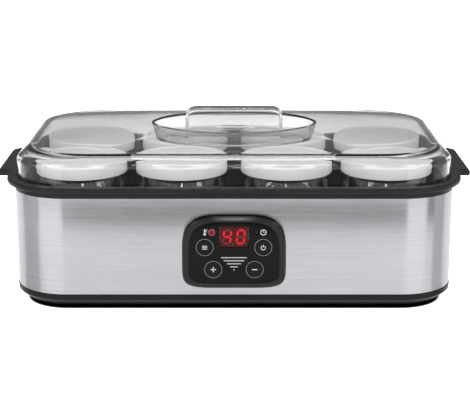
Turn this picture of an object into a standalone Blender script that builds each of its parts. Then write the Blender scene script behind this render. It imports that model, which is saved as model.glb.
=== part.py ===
"""Eight-jar yogurt maker: brushed steel body, black base and basin, glass jars and a clear cover.

Metres, +Z up. The origin is on the standing surface under the middle of the body.
The control panel faces -Y.
"""

import math

import bmesh
import bpy
from mathutils import Vector

# Fits
GAP = 0.0003
HOLE_CLEARANCE = 0.0003

# Jars and their push-on lids, which set the size of the rest
JAR_COLUMNS = 4
JAR_ROWS = 2
JAR_HEIGHT = 0.0811
JAR_RADIUS = 0.0360
JAR_FOOT_INSET = 0.0030
JAR_SHOULDER_DROP = 0.0231
JAR_NECK_HEIGHT = 0.0093
JAR_NECK_RADIUS = 0.0298
JAR_BEAD = 0.0017
GLASS = 0.0025
LID_SNAP_GAP = 0.0041
LID_HEIGHT = 0.0112
LID_WALL = 0.0014
LID_OVERLAP = 0.0096
LID_EDGE = 0.0016
LID_RIM_WIDTH = 0.0035
LID_RECESS = 0.0006
LID_PLUG_WALL = 0.0012
LID_PLUG_DEPTH = 0.0050
LID_RADIUS = JAR_NECK_RADIUS + JAR_BEAD + LID_SNAP_GAP + LID_WALL
JAR_GAP_X = 0.0073
JAR_GAP_Y = 0.0070
JAR_MIDDLE_EXTRA = 0.0040
JAR_WIDEST = max(JAR_RADIUS, LID_RADIUS)
JAR_PITCH_X = 2 * JAR_WIDEST + JAR_GAP_X
JAR_PITCH_Y = 2 * JAR_WIDEST + JAR_GAP_Y

# Body outline, kept clear of the outer jars
JAR_MARGIN_X = 0.01465
JAR_MARGIN_Y = 0.0226
BODY_HALF_X = ((JAR_COLUMNS - 1) * JAR_PITCH_X + JAR_MIDDLE_EXTRA) / 2 + JAR_WIDEST + JAR_MARGIN_X
BODY_HALF_Y = (JAR_ROWS - 1) * JAR_PITCH_Y / 2 + JAR_WIDEST + JAR_MARGIN_Y
BODY_CORNER = 0.0435
SHEET = 0.0008

# Base
FOOT_HEIGHT = 0.0025
FOOT_RADIUS = 0.0100
FOOT_PEG_RADIUS = 0.0025
FOOT_INSET_X = 0.0576
FOOT_INSET_Y = 0.0301
BODY_BOTTOM = 0.0136
BASE_WALL = 0.0022
BASE_PROUD = 0.0004
BASE_BAND = 0.0042
BASE_STEP = 0.0010
BASE_TUCK = 0.0080
LIP_HEIGHT = 0.0044
LIP_WALL = 0.0018

# Screws: head radius, head height, shank radius
SMALL_SCREW = (0.0025, 0.0014, 0.0011)
BASE_SCREW = (0.0031, 0.0022, 0.0015)
BOSS_WALL = 0.0018
BASE_SCREW_INSET_X = 0.0296
BASE_SCREW_INSET_Y = 0.0321
BASE_BOSS_SHOULDER = 0.0140
BASIN_BOSS_HEIGHT = 0.0040

# Power electronics on the base
BOARD = 0.0016
POWER_BOARD_HALF_X = 0.0450
POWER_BOARD_HALF_Y = 0.0300
POWER_BOARD_CENTRE = (0.0400, 0.0200)
STANDOFF_HEIGHT = 0.0034
POWER_SCREW_INSET = 0.0060
TRANSFORMER_SIZE = (0.0240, 0.0200, 0.0110)
TRANSFORMER_OFFSET = (0.0200, 0.0100)
RELAY_SIZE = (0.0190, 0.0150, 0.0105)
RELAY_OFFSET = (-0.0100, 0.0150)
CAPACITOR_RADIUS = 0.0050
CAPACITOR_HALF_LENGTH = 0.0080
CAPACITOR_OFFSET = (-0.0150, -0.0100)
TERMINAL_SIZE = (0.0120, 0.0240, 0.0100)
TERMINAL_INSET = 0.0356
LEAD_RADIUS = 0.0010
RIBBON_WIDTH = 0.0120
RIBBON_THICKNESS = 0.0008
RIBBON_X = 0.0200

# Heater under the basin floor
SPREADER_INSET_X = 0.0476
SPREADER_INSET_Y = 0.0401
SPREADER_CORNER = 0.0150
SPREADER_THICKNESS = 0.0011
HEATER_PASSES = 6
HEATER_INSET_X = 0.0230
HEATER_INSET_Y = 0.0125
HEATER_RADIUS = 0.0012
HEATER_AIR = 0.0013
FUSE_RADIUS = 0.0021
FUSE_HALF_LENGTH = 0.0060
FUSE_LEAD_RADIUS = 0.0005
FUSE_X = -0.0500
SENSOR_RADIUS = 0.0030
SENSOR_HEIGHT = 0.0040

# Basin and rim
BASIN_WALL = 0.0020
BASIN_DRAFT = 0.0040
BASIN_FILLET = 0.0040
COLLAR_HEIGHT = 0.0048
RIM_OVERHANG = 0.0062
RIM_THICKNESS = 0.0042
RIM_ROUNDING = 0.0009
JAR_PROUD = 0.0090
SEAT_DEPTH = 0.0020
SEAT_CLEARANCE_OUT = 0.0008
SEAT_CLEARANCE_IN = 0.0017
SEAT_LIP_HEIGHT = 0.0008
SEAT_LIP_WIDTH = 0.0015

# Carrying lugs on the rim
LUG_REACH = 0.0117
LUG_ROOT_HALF = 0.0450
LUG_TIP_HALF = 0.0370
LUG_CORNER = 0.0050
LUG_THICKNESS = 0.0062
LUG_WALL = 0.0026
LUG_ROUNDING = 0.0018

# Cover
COVER_INSET = 0.0022
COVER_WALL = 0.0022
COVER_CLEARANCE = 0.0064
SHOULDER_INSET = 0.0085
SHOULDER_RISE = 0.0074
SHOULDER_ROUNDING = 0.0005
TOP_CORNER = 0.0480
CROWN_RISE = 0.0086
CROWN_POWER = 1.5
RECESS_HALF_X = 0.0695
RECESS_HALF_Y = 0.0430
RECESS_DRAFT = 0.0035
RECESS_DEPTH = 0.0125
GRIP_INSET = 0.0290
GRIP_HALF_WIDTH = 0.0066
GRIP_TAPER = 0.0018
GRIP_HEIGHT = 0.0248
GRIP_CORNER = 0.0078

# Control panel, with its heights counted from its own bottom edge
PANEL_HALF_WIDTH = 0.0406
PANEL_HEIGHT = 0.0602
PANEL_DROP = 0.0019
PANEL_SHOULDER = 0.0240
PANEL_TOP_POWER = 3.7
PANEL_BOTTOM_POWER = 5.6
PANEL_DEPTH = 0.0092
PANEL_WALL = 0.0022
BEVEL_INSET = 0.0049
BEVEL_DEPTH = 0.0042
FACE_RECESS = 0.0003
FACE_THICKNESS = 0.0016
LEDGE_WIDTH = 0.0018
LEDGE_THICKNESS = 0.0016
PANEL_SCREW_INSET = 0.0060
PANEL_SCREW_RISE = 0.0240
CUTOUT_MARGIN = 0.0041
CUTOUT_LOW = 0.0110
CUTOUT_HIGH = 0.0525
CONTROL_BOARD_INSET = 0.0022
CONTROL_BOARD_LOW = 0.0090
CONTROL_BOARD_HIGH = 0.0530
BUTTON_RADIUS = 0.0060
BUTTON_FLANGE = 0.0012
BUTTON_FLANGE_THICKNESS = 0.0012
BUTTON_STEM_RADIUS = 0.0020
BUTTON_EDGE = 0.0005
BUTTON_FREE_GAP = 0.0011
UPPER_BUTTON = (0.0227, 0.0344)
LOWER_BUTTON = (0.0161, 0.0165)
SWITCH_SIDE = 0.0060
SWITCH_HEIGHT = 0.0031
PLUNGER_RADIUS = 0.0017
PLUNGER_HEIGHT = 0.0007
DISPLAY_HALF_WIDTH = 0.0109
DISPLAY_LOW = 0.0346
DISPLAY_HIGH = 0.0513
DISPLAY_RECESS = 0.0002
LED = (0.0172, 0.0466)
LED_RADIUS = 0.0017

# Cord gland in the back of the body, with no cord in it
GLAND_INSET = 0.0656
GLAND_RISE = 0.0114
GLAND_NECK_RADIUS = 0.0050
GLAND_FLANGE_RADIUS = 0.0070
GLAND_TIP_RADIUS = 0.0048
GLAND_BORE = 0.0034
GLAND_FLANGE = 0.0026
GLAND_STEP = 0.0008
GLAND_REACH = PANEL_DEPTH

# How finely round shapes are divided
CORNER_STEPS = 5
TURN_STEPS = 18
SMALL_STEPS = 14
PANEL_STEPS = 32

# Heights and reaches that follow from the sizes above
BASE_UNDERSIDE = FOOT_HEIGHT + GAP
BASE_FLOOR = BASE_UNDERSIDE + BASE_WALL
POWER_BOARD_BOTTOM = BASE_FLOOR + STANDOFF_HEIGHT + GAP
POWER_BOARD_TOP = POWER_BOARD_BOTTOM + BOARD
TALLEST_COMPONENT = max(TRANSFORMER_SIZE[2], RELAY_SIZE[2], 2 * CAPACITOR_RADIUS)
HEATER_Z = POWER_BOARD_TOP + GAP + TALLEST_COMPONENT + HEATER_AIR + HEATER_RADIUS
SPREADER_BOTTOM = HEATER_Z + HEATER_RADIUS + GAP
SPREADER_TOP = SPREADER_BOTTOM + SPREADER_THICKNESS
BASIN_UNDERSIDE = SPREADER_TOP + GAP
BASIN_FLOOR_TOP = BASIN_UNDERSIDE + BASIN_WALL
SPREADER_HALF_X = BODY_HALF_X - SPREADER_INSET_X
SPREADER_HALF_Y = BODY_HALF_Y - SPREADER_INSET_Y
HEATER_HALF_LENGTH = SPREADER_HALF_X - HEATER_INSET_X
HEATER_PITCH = 2 * (SPREADER_HALF_Y - HEATER_INSET_Y) / (HEATER_PASSES - 1)
JAR_BOTTOM = BASIN_FLOOR_TOP + GAP
LID_TOP = JAR_BOTTOM + JAR_HEIGHT + LID_HEIGHT - LID_OVERLAP
RIM_TOP = JAR_BOTTOM + JAR_HEIGHT - JAR_PROUD
RIM_UNDERSIDE = RIM_TOP - RIM_THICKNESS
BODY_TOP = RIM_UNDERSIDE - COLLAR_HEIGHT
SEAT_FLOOR = RIM_TOP - SEAT_DEPTH
SEAT_INSET = COVER_INSET - SEAT_CLEARANCE_OUT
SEAT_WIDTH = SEAT_CLEARANCE_OUT + COVER_WALL + SEAT_CLEARANCE_IN
BASIN_INSET_TOP = SEAT_INSET + SEAT_WIDTH + SEAT_LIP_WIDTH
BASIN_INSET_FLOOR = BASIN_INSET_TOP + BASIN_DRAFT
COVER_BOTTOM = SEAT_FLOOR + GAP
RECESS_FLOOR = LID_TOP + COVER_CLEARANCE + COVER_WALL
CROWN_TOP = RECESS_FLOOR + RECESS_DEPTH
SHOULDER_TOP = CROWN_TOP - CROWN_RISE
SHOULDER_START = SHOULDER_TOP - SHOULDER_RISE
GRIP_HALF_LENGTH = RECESS_HALF_X - GRIP_INSET
PANEL_BOTTOM = (BODY_BOTTOM + BODY_TOP) / 2 - PANEL_DROP - PANEL_HEIGHT / 2
PANEL_BACK = BODY_HALF_Y + GAP
PANEL_FRONT = BODY_HALF_Y + PANEL_DEPTH
PANEL_SCREW_X = PANEL_HALF_WIDTH - PANEL_SCREW_INSET
PANEL_SCREW_Z = PANEL_BOTTOM + PANEL_SCREW_RISE
FACE_FRONT = PANEL_FRONT - FACE_RECESS
FACE_BACK = FACE_FRONT - FACE_THICKNESS
CONTROL_BOARD_FRONT = BODY_HALF_Y - SHEET - GAP
CONTROL_BOARD_BACK = CONTROL_BOARD_FRONT - BOARD
TO_FRONT = (math.radians(90), 0, 0)
TO_BACK = (math.radians(-90), 0, 0)
TO_RIGHT = (0, math.radians(90), 0)
PARTS = "yogurt_maker"
CUTTERS = "cutters"


def clear_scene():
    for old in list(bpy.data.objects):
        bpy.data.objects.remove(old)
    for name in (PARTS, CUTTERS):
        bpy.context.scene.collection.children.link(bpy.data.collections.new(name))
    bpy.data.collections[CUTTERS].hide_render = True


def finish(name, colour, roughness, metallic=0.0, transmission=0.0):
    """A Principled material for one kind of sub-part."""
    material = bpy.data.materials.new(name)
    material.use_nodes = True
    shader = material.node_tree.nodes["Principled BSDF"]
    shader.inputs["Base Color"].default_value = (*colour, 1.0)
    shader.inputs["Roughness"].default_value = roughness
    shader.inputs["Metallic"].default_value = metallic
    shader.inputs["Transmission Weight"].default_value = transmission
    return material


def place(name, data, material=None, location=(0, 0, 0), rotation=(0, 0, 0)):
    """A part if it has a material, otherwise a cutter."""
    thing = bpy.data.objects.new(name, data)
    thing.location = location
    thing.rotation_euler = rotation
    if material:
        data.materials.append(material)
        bpy.data.collections[PARTS].objects.link(thing)
    else:
        thing.hide_render = True
        thing.display_type = "WIRE"
        bpy.data.collections[CUTTERS].objects.link(thing)
    return thing


def smooth(mesh, angle=35):
    mesh.shade_smooth()
    mesh.set_sharp_from_angle(angle=math.radians(angle))


def mesh_of(name, shape):
    mesh = bpy.data.meshes.new(name)
    shape.to_mesh(mesh)
    shape.free()
    smooth(mesh)
    return mesh


def rounded_rectangle(half_x, half_y, radius, z, long_steps=1, short_steps=1):
    """Points of a rounded rectangle at height z, counter-clockwise seen from above."""
    flat_x = half_x - radius
    flat_y = half_y - radius
    corners = ((flat_x, flat_y, 0), (-flat_x, flat_y, 90), (-flat_x, -flat_y, 180), (flat_x, -flat_y, 270))
    points = []
    for number, (x, y, start) in enumerate(corners):
        for step in range(CORNER_STEPS + 1):
            angle = math.radians(start + 90 * step / CORNER_STEPS)
            points.append(Vector((x + radius * math.cos(angle), y + radius * math.sin(angle), z)))
        next_x, next_y, next_start = corners[(number + 1) % 4]
        turn = math.radians(next_start)
        next_point = Vector((next_x + radius * math.cos(turn), next_y + radius * math.sin(turn), z))
        steps = short_steps if number % 2 else long_steps
        points += [points[-1].lerp(next_point, step / steps) for step in range(1, steps)]
    return points


def body_ring(offset, z, **steps):
    """The body's outline at height z, grown by offset."""
    return rounded_rectangle(BODY_HALF_X + offset, BODY_HALF_Y + offset, BODY_CORNER + offset, z, **steps)


def loft(name, rings, ends="capped"):
    """A skin over rings of equally many points. ends is capped, joined (last to first), open_start or open."""
    shape = bmesh.new()
    rows = [[shape.verts.new(point) for point in ring] for ring in rings]
    pairs = list(zip(rows, rows[1:]))
    if ends == "joined":
        pairs.append((rows[-1], rows[0]))
    for low, high in pairs:
        for index in range(len(low)):
            after = (index + 1) % len(low)
            shape.faces.new((low[index], low[after], high[after], high[index]))
    if ends == "capped":
        shape.faces.new(reversed(rows[0]))
    if ends in ("capped", "open_start"):
        shape.faces.new(rows[-1])
    if ends in ("capped", "joined"):
        bmesh.ops.recalc_face_normals(shape, faces=shape.faces)
    return mesh_of(name, shape)


def turned_mesh(name, profile):
    """The open profile (radius, height) of a turned shape, running down its outer side."""
    mesh = bpy.data.meshes.new(name)
    edges = [(index, index + 1) for index in range(len(profile) - 1)]
    mesh.from_pydata([(radius, 0, height) for radius, height in profile], edges, [])
    return mesh


def turned(name, mesh, material=None, steps=SMALL_STEPS, **where):
    """An object that turns a profile about its own Z axis."""
    thing = place(name, mesh, material, **where)
    screw = thing.modifiers.new("turn", "SCREW")
    screw.steps = steps
    screw.render_steps = steps
    screw.use_merge_vertices = True
    screw.merge_threshold = 0.00001
    screw.use_smooth_shade = False
    return thing


def rod(name, radius, low, high, material=None, **options):
    """A plain round rod or hole along its own Z axis."""
    profile = [(0, high), (radius, high), (radius, low), (0, low)]
    return turned(name, turned_mesh(name, profile), material, **options)


def screw_post(name, bore, root, end, bore_end, **options):
    """A post from its root in a wall to its end, with a blind screw bore that opens at the end."""
    outer = bore + BOSS_WALL
    profile = [(0, bore_end), (bore, bore_end), (bore, end), (outer, end), (outer, root), (0, root)]
    if end < root:
        profile.reverse()
    return turned(name, turned_mesh(name, profile), **options)


def box(name, low, high, material=None, edge=0.0):
    """A box between two corners, with bevelled edges if edge is given."""
    shape = bmesh.new()
    bmesh.ops.create_cube(shape, size=1)
    size = Vector(high) - Vector(low)
    bmesh.ops.scale(shape, vec=size, verts=shape.verts)
    thing = place(name, mesh_of(name, shape), material, location=Vector(low) + size / 2)
    if edge:
        bevel = thing.modifiers.new("edges", "BEVEL")
        bevel.width = edge
        bevel.segments = 1
    return thing


def tube(name, points, radius, material, sides=2):
    """A wire along a smooth run of points."""
    curve = bpy.data.curves.new(name, "CURVE")
    curve.dimensions = "3D"
    curve.bevel_depth = radius
    curve.bevel_resolution = sides
    curve.use_fill_caps = True
    spline = curve.splines.new("POLY")
    spline.points.add(len(points) - 1)
    for slot, point in zip(spline.points, points):
        slot.co = (*point, 1)
    return place(name, curve, material)


def bezier_run(start, start_pull, end_pull, end, steps=12):
    """Points on a cubic curve that leaves start towards start_pull and reaches end from end_pull."""
    run = []
    for step in range(steps + 1):
        t = step / steps
        s = 1 - t
        corners = (start, start_pull, end_pull, end)
        weights = (s**3, 3 * s * s * t, 3 * s * t * t, t**3)
        run.append(sum((Vector(corner) * weight for corner, weight in zip(corners, weights)), Vector()))
    return run


def combine(target, other, operation):
    change = target.modifiers.new(other.name, "BOOLEAN")
    change.operation = operation
    change.object = other
    change.solver = "EXACT"


def cut(target, *cutters):
    for cutter in cutters:
        combine(target, cutter, "DIFFERENCE")


def join(target, *additions):
    for addition in additions:
        combine(target, addition, "UNION")


def four_corners(x, y):
    return [(-x, -y), (x, -y), (-x, y), (x, y)]


def screw_profile(size, length):
    """A pan-head screw whose head sits above height 0 and whose shank runs down."""
    head_radius, head_height, shank_radius = size
    return [
        (0, head_height),
        (head_radius * 0.7, head_height),
        (head_radius, head_height * 0.55),
        (head_radius, 0),
        (shank_radius, 0),
        (shank_radius, -length + shank_radius),
        (shank_radius * 0.4, -length),
        (0, -length),
    ]


def make_outer_shell():
    steel = finish("brushed_steel", (0.62, 0.63, 0.65), 0.32, metallic=1.0)
    rings = [body_ring(0, BODY_BOTTOM + GAP), body_ring(0, BODY_TOP - GAP)]
    shell = place("outer_shell", loft("outer_shell", rings, ends="open"), steel)
    sheet = shell.modifiers.new("sheet", "SOLIDIFY")
    sheet.thickness = SHEET
    sheet.offset = -1
    sheet.use_even_offset = True
    depth = 4 * SHEET
    front = -BODY_HALF_Y
    cutout = PANEL_SCREW_X - CUTOUT_MARGIN
    cut(
        shell,
        box(
            "panel_cutout",
            (-cutout, front - depth, PANEL_BOTTOM + CUTOUT_LOW),
            (cutout, front + depth, PANEL_BOTTOM + CUTOUT_HIGH),
        ),
    )
    for side in (-1, 1):
        hole = rod(
            f"shell_screw_hole_{side}",
            SMALL_SCREW[2] + HOLE_CLEARANCE,
            BODY_HALF_Y - depth,
            BODY_HALF_Y + depth,
            location=(side * PANEL_SCREW_X, 0, PANEL_SCREW_Z),
            rotation=TO_FRONT,
        )
        cut(shell, hole)
    gland_hole = rod(
        "gland_hole",
        GLAND_NECK_RADIUS + HOLE_CLEARANCE,
        BODY_HALF_Y - depth,
        BODY_HALF_Y + depth,
        location=gland_place(),
        rotation=TO_BACK,
    )
    cut(shell, gland_hole)


def basin_rings():
    """Rings from the underside of the basin floor, up the outside, over the rim and down to the floor."""
    lip_outer = -SHEET - GAP
    lip_inner = lip_outer - LIP_WALL
    lip_bottom = BODY_TOP - LIP_HEIGHT
    roof = RIM_UNDERSIDE - COLLAR_HEIGHT / 2
    top_outer = -BASIN_INSET_TOP + BASIN_WALL
    floor_outer = -BASIN_INSET_FLOOR + BASIN_WALL
    seat_outer = -SEAT_INSET
    seat_inner = seat_outer - SEAT_WIDTH
    floor_flat = -BASIN_INSET_FLOOR - BASIN_FILLET
    corner = BASIN_FILLET * 0.3
    profile = [
        (floor_flat, BASIN_UNDERSIDE),
        (floor_outer - corner, BASIN_UNDERSIDE + corner),
        (floor_outer, BASIN_UNDERSIDE + BASIN_FILLET),
        (top_outer, roof),
        (lip_inner, roof),
        (lip_inner, lip_bottom),
        (lip_outer, lip_bottom),
        (lip_outer, BODY_TOP),
        (BASE_PROUD, BODY_TOP),
        (BASE_PROUD, RIM_UNDERSIDE),
        (RIM_OVERHANG, RIM_UNDERSIDE),
        (RIM_OVERHANG, RIM_TOP - RIM_ROUNDING),
        (RIM_OVERHANG - RIM_ROUNDING, RIM_TOP),
        (seat_outer, RIM_TOP),
        (seat_outer, SEAT_FLOOR),
        (seat_inner, SEAT_FLOOR),
        (seat_inner, SEAT_FLOOR + SEAT_LIP_HEIGHT),
        (-BASIN_INSET_TOP, SEAT_FLOOR + SEAT_LIP_HEIGHT),
        (-BASIN_INSET_FLOOR, BASIN_FLOOR_TOP + BASIN_FILLET),
        (-BASIN_INSET_FLOOR - corner, BASIN_FLOOR_TOP + corner),
        (floor_flat, BASIN_FLOOR_TOP),
    ]
    return [body_ring(offset, z) for offset, z in profile]


def lug_outline(side, inset, z):
    """A lug's outline in plan: wide where it leaves the rim, with rounded outer corners."""
    root_x = BODY_HALF_X + BASE_PROUD
    tip_x = BODY_HALF_X + RIM_OVERHANG + LUG_REACH - inset
    root = LUG_ROOT_HALF - inset
    tip = LUG_TIP_HALF - inset
    points = [(root_x, -root), (BODY_HALF_X + RIM_OVERHANG, -root)]
    for start, y in ((-90, -tip + LUG_CORNER), (0, tip - LUG_CORNER)):
        for step in range(CORNER_STEPS // 2 + 1):
            angle = math.radians(start + 90 * step / (CORNER_STEPS // 2))
            x = tip_x - LUG_CORNER + LUG_CORNER * math.cos(angle)
            points.append((x, y + LUG_CORNER * math.sin(angle)))
    points += [(BODY_HALF_X + RIM_OVERHANG, root), (root_x, root)]
    return [Vector((side * x, y, z)) for x, y in points]


def make_basin():
    plastic = finish("black_basin_plastic", (0.022, 0.022, 0.023), 0.38)
    basin = place("inner_basin", loft("inner_basin", basin_rings()), plastic)
    top = RIM_TOP - GAP
    bottom = top - LUG_THICKNESS
    for side in (-1, 1):
        outlines = [
            lug_outline(side, LUG_ROUNDING / 2, bottom),
            lug_outline(side, 0, bottom + LUG_ROUNDING),
            lug_outline(side, 0, top - LUG_ROUNDING),
            lug_outline(side, LUG_ROUNDING, top),
        ]
        lug = place(f"lug_{side}", loft(f"lug_{side}", outlines))
        join(basin, lug)
        near = BODY_HALF_X + RIM_OVERHANG + LUG_WALL / 2
        far = BODY_HALF_X + RIM_OVERHANG + LUG_REACH - LUG_WALL
        half = LUG_TIP_HALF - LUG_CORNER
        low = (min(side * near, side * far), -half, bottom - LUG_WALL)
        high = (max(side * near, side * far), half, top - LUG_WALL)
        cut(basin, box(f"finger_recess_{side}", low, high))
    pilot = BASE_SCREW[2] + HOLE_CLEARANCE
    boss_bottom = BASIN_UNDERSIDE - BASIN_BOSS_HEIGHT
    for number, (x, y) in enumerate(base_screw_places(), 1):
        heights = (BASIN_UNDERSIDE + GAP, boss_bottom, BASIN_UNDERSIDE - GAP)
        join(basin, screw_post(f"basin_boss_{number}", pilot, *heights, location=(x, y, 0)))


def base_screw_places():
    return four_corners(BODY_HALF_X - BASE_SCREW_INSET_X, BODY_HALF_Y - BASE_SCREW_INSET_Y)


def foot_places():
    return four_corners(BODY_HALF_X - FOOT_INSET_X, BODY_HALF_Y - FOOT_INSET_Y)


def base_rings():
    """Rings from the underside of the base, up the outside and down to its floor."""
    lip_outer = -SHEET - GAP
    lip_inner = lip_outer - LIP_WALL
    band_bottom = BODY_BOTTOM - BASE_BAND
    profile = [
        (-BASE_TUCK, BASE_UNDERSIDE),
        (BASE_PROUD / 2 - BASE_STEP, band_bottom - BASE_STEP),
        (BASE_PROUD / 2, band_bottom),
        (BASE_PROUD, BODY_BOTTOM),
        (lip_outer, BODY_BOTTOM),
        (lip_outer, BODY_BOTTOM + LIP_HEIGHT),
        (lip_inner, BODY_BOTTOM + LIP_HEIGHT),
        (lip_inner, band_bottom + BASE_WALL / 2),
        (-BASE_TUCK - BASE_WALL / 2, BASE_FLOOR),
    ]
    return [body_ring(offset, z) for offset, z in profile]


def make_base():
    plastic = finish("black_base_plastic", (0.020, 0.020, 0.021), 0.42)
    base = place("base_pan", loft("base_pan", base_rings()), plastic)
    head_hole = BASE_SCREW[0] + HOLE_CLEARANCE
    shank_hole = BASE_SCREW[2] + HOLE_CLEARANCE
    boss_top = BASIN_UNDERSIDE - BASIN_BOSS_HEIGHT - GAP
    for number, (x, y) in enumerate(base_screw_places(), 1):
        spot = {"location": (x, y, 0)}
        join(base, rod(f"base_boss_{number}", head_hole + BOSS_WALL, BASE_FLOOR - GAP, boss_top, **spot))
        profile = [
            (0, boss_top + GAP),
            (shank_hole, boss_top + GAP),
            (shank_hole, BASE_BOSS_SHOULDER),
            (head_hole, BASE_BOSS_SHOULDER),
            (head_hole, BASE_UNDERSIDE - GAP),
            (0, BASE_UNDERSIDE - GAP),
        ]
        cut(base, turned(f"base_bore_{number}", turned_mesh(f"base_bore_{number}", profile), **spot))
    for number, (x, y) in enumerate(foot_places(), 1):
        hole = rod(
            f"foot_hole_{number}",
            FOOT_PEG_RADIUS + HOLE_CLEARANCE,
            BASE_UNDERSIDE - GAP,
            BASE_FLOOR + GAP,
            location=(x, y, 0),
        )
        cut(base, hole)
    for number, (x, y) in enumerate(power_screw_places(), 1):
        heights = (BASE_FLOOR - GAP, POWER_BOARD_BOTTOM - GAP, BASE_FLOOR + GAP)
        pilot = SMALL_SCREW[2] + HOLE_CLEARANCE
        join(base, screw_post(f"standoff_{number}", pilot, *heights, location=(x, y, 0)))


def make_feet():
    rubber = finish("foot_rubber", (0.030, 0.030, 0.030), 0.85)
    profile = [
        (0, BASE_FLOOR + GAP),
        (FOOT_PEG_RADIUS, BASE_FLOOR + GAP),
        (FOOT_PEG_RADIUS, FOOT_HEIGHT),
        (FOOT_RADIUS, FOOT_HEIGHT),
        (FOOT_RADIUS, FOOT_HEIGHT / 4),
        (FOOT_RADIUS - FOOT_HEIGHT / 4, 0),
        (0, 0),
    ]
    mesh = turned_mesh("foot", profile)
    mesh.materials.append(rubber)
    for number, (x, y) in enumerate(foot_places(), 1):
        turned_copy(f"foot_{number}", mesh, location=(x, y, 0))


def turned_copy(name, mesh, steps=SMALL_STEPS, **where):
    """A turned part whose shared profile already has its material."""
    thing = turned(name, mesh, mesh.materials[0], steps, **where)
    mesh.materials.pop()
    return thing


def screw_set(name, size, length, places, rotation):
    metal = finish(f"{name}_metal", (0.55, 0.55, 0.56), 0.35, metallic=1.0)
    mesh = turned_mesh(name, screw_profile(size, length))
    mesh.materials.append(metal)
    for number, spot in enumerate(places, 1):
        turned_copy(f"{name}_{number}", mesh, steps=12, location=spot, rotation=rotation)


def make_screws():
    head_base = BASE_BOSS_SHOULDER - GAP
    base_length = BASIN_UNDERSIDE - 2 * GAP - head_base
    base_places = [(x, y, head_base) for x, y in base_screw_places()]
    screw_set("base_screw", BASE_SCREW, base_length, base_places, (math.radians(180), 0, 0))
    head_y = -(CONTROL_BOARD_BACK - GAP)
    pilot_end = FACE_BACK - LEDGE_THICKNESS - 3 * GAP
    panel_length = pilot_end - CONTROL_BOARD_BACK
    panel_places = [(side * PANEL_SCREW_X, head_y, PANEL_SCREW_Z) for side in (-1, 1)]
    screw_set("panel_screw", SMALL_SCREW, panel_length, panel_places, TO_BACK)
    power_length = POWER_BOARD_TOP - BASE_FLOOR - 2 * GAP
    power_places = [(x, y, POWER_BOARD_TOP + GAP) for x, y in power_screw_places()]
    screw_set("board_screw", SMALL_SCREW, power_length, power_places, (0, 0, 0))


def make_heater():
    spreader_metal = finish("spreader_aluminium", (0.78, 0.79, 0.80), 0.35, metallic=1.0)
    rings = [
        rounded_rectangle(SPREADER_HALF_X, SPREADER_HALF_Y, SPREADER_CORNER, z)
        for z in (SPREADER_BOTTOM, SPREADER_TOP)
    ]
    place("heat_spreader", loft("heat_spreader", rings), spreader_metal)
    silicone = finish("heater_silicone", (0.55, 0.08, 0.05), 0.60)
    tube("heating_wire", heater_route(), HEATER_RADIUS, silicone)


def heater_route():
    """Straight passes along X, joined by half circles, starting and ending on the -X side."""
    bend = HEATER_PITCH / 2
    route = []
    for index in range(HEATER_PASSES):
        y = (index - (HEATER_PASSES - 1) / 2) * HEATER_PITCH
        side = -1 if index % 2 else 1
        route.append(Vector((-side * HEATER_HALF_LENGTH, y, HEATER_Z)))
        if index == HEATER_PASSES - 1:
            route.append(Vector((side * HEATER_HALF_LENGTH, y, HEATER_Z)))
            break
        for step in range(1, 5):
            angle = math.radians(-90 + 180 * step / 5)
            x = side * (HEATER_HALF_LENGTH + bend * math.cos(angle))
            route.append(Vector((x, y + bend + bend * math.sin(angle), HEATER_Z)))
    return route


def make_sensors():
    touch = SPREADER_BOTTOM - GAP
    fuse_body = finish("fuse_case", (0.62, 0.58, 0.50), 0.40, metallic=1.0)
    half = FUSE_HALF_LENGTH
    profile = [
        (0, half * 1.8),
        (FUSE_LEAD_RADIUS, half * 1.8),
        (FUSE_LEAD_RADIUS, half),
        (FUSE_RADIUS * 0.7, half),
        (FUSE_RADIUS, half * 0.85),
        (FUSE_RADIUS, -half),
        (FUSE_LEAD_RADIUS, -half),
        (FUSE_LEAD_RADIUS, -half * 1.8),
        (0, -half * 1.8),
    ]
    spot = {"location": (FUSE_X, 0, touch - FUSE_RADIUS), "rotation": TO_RIGHT}
    turned("thermal_fuse", turned_mesh("thermal_fuse", profile), fuse_body, **spot)
    sensor_body = finish("sensor_case", (0.70, 0.70, 0.72), 0.30, metallic=1.0)
    sensor_profile = [
        (0, touch),
        (SENSOR_RADIUS, touch),
        (SENSOR_RADIUS, touch - SENSOR_HEIGHT * 0.7),
        (SENSOR_RADIUS * 0.5, touch - SENSOR_HEIGHT),
        (0, touch - SENSOR_HEIGHT),
    ]
    turned("temperature_sensor", turned_mesh("temperature_sensor", sensor_profile), sensor_body)


def panel_ring(inset, reach):
    """The control panel's arched outline, drawn in by inset, reach in front of the body's middle."""
    points = []
    for step in range(PANEL_STEPS):
        angle = 2 * math.pi * step / PANEL_STEPS
        across = math.cos(angle)
        up = math.sin(angle)
        power = PANEL_TOP_POWER if up >= 0 else PANEL_BOTTOM_POWER
        height = PANEL_HEIGHT - PANEL_SHOULDER if up >= 0 else PANEL_SHOULDER
        x = math.copysign(abs(across) ** (2 / power), across) * (PANEL_HALF_WIDTH - inset)
        z = PANEL_SHOULDER + math.copysign(abs(up) ** (2 / power), up) * (height - inset)
        points.append(Vector((x, -reach, PANEL_BOTTOM + z)))
    return points


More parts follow.
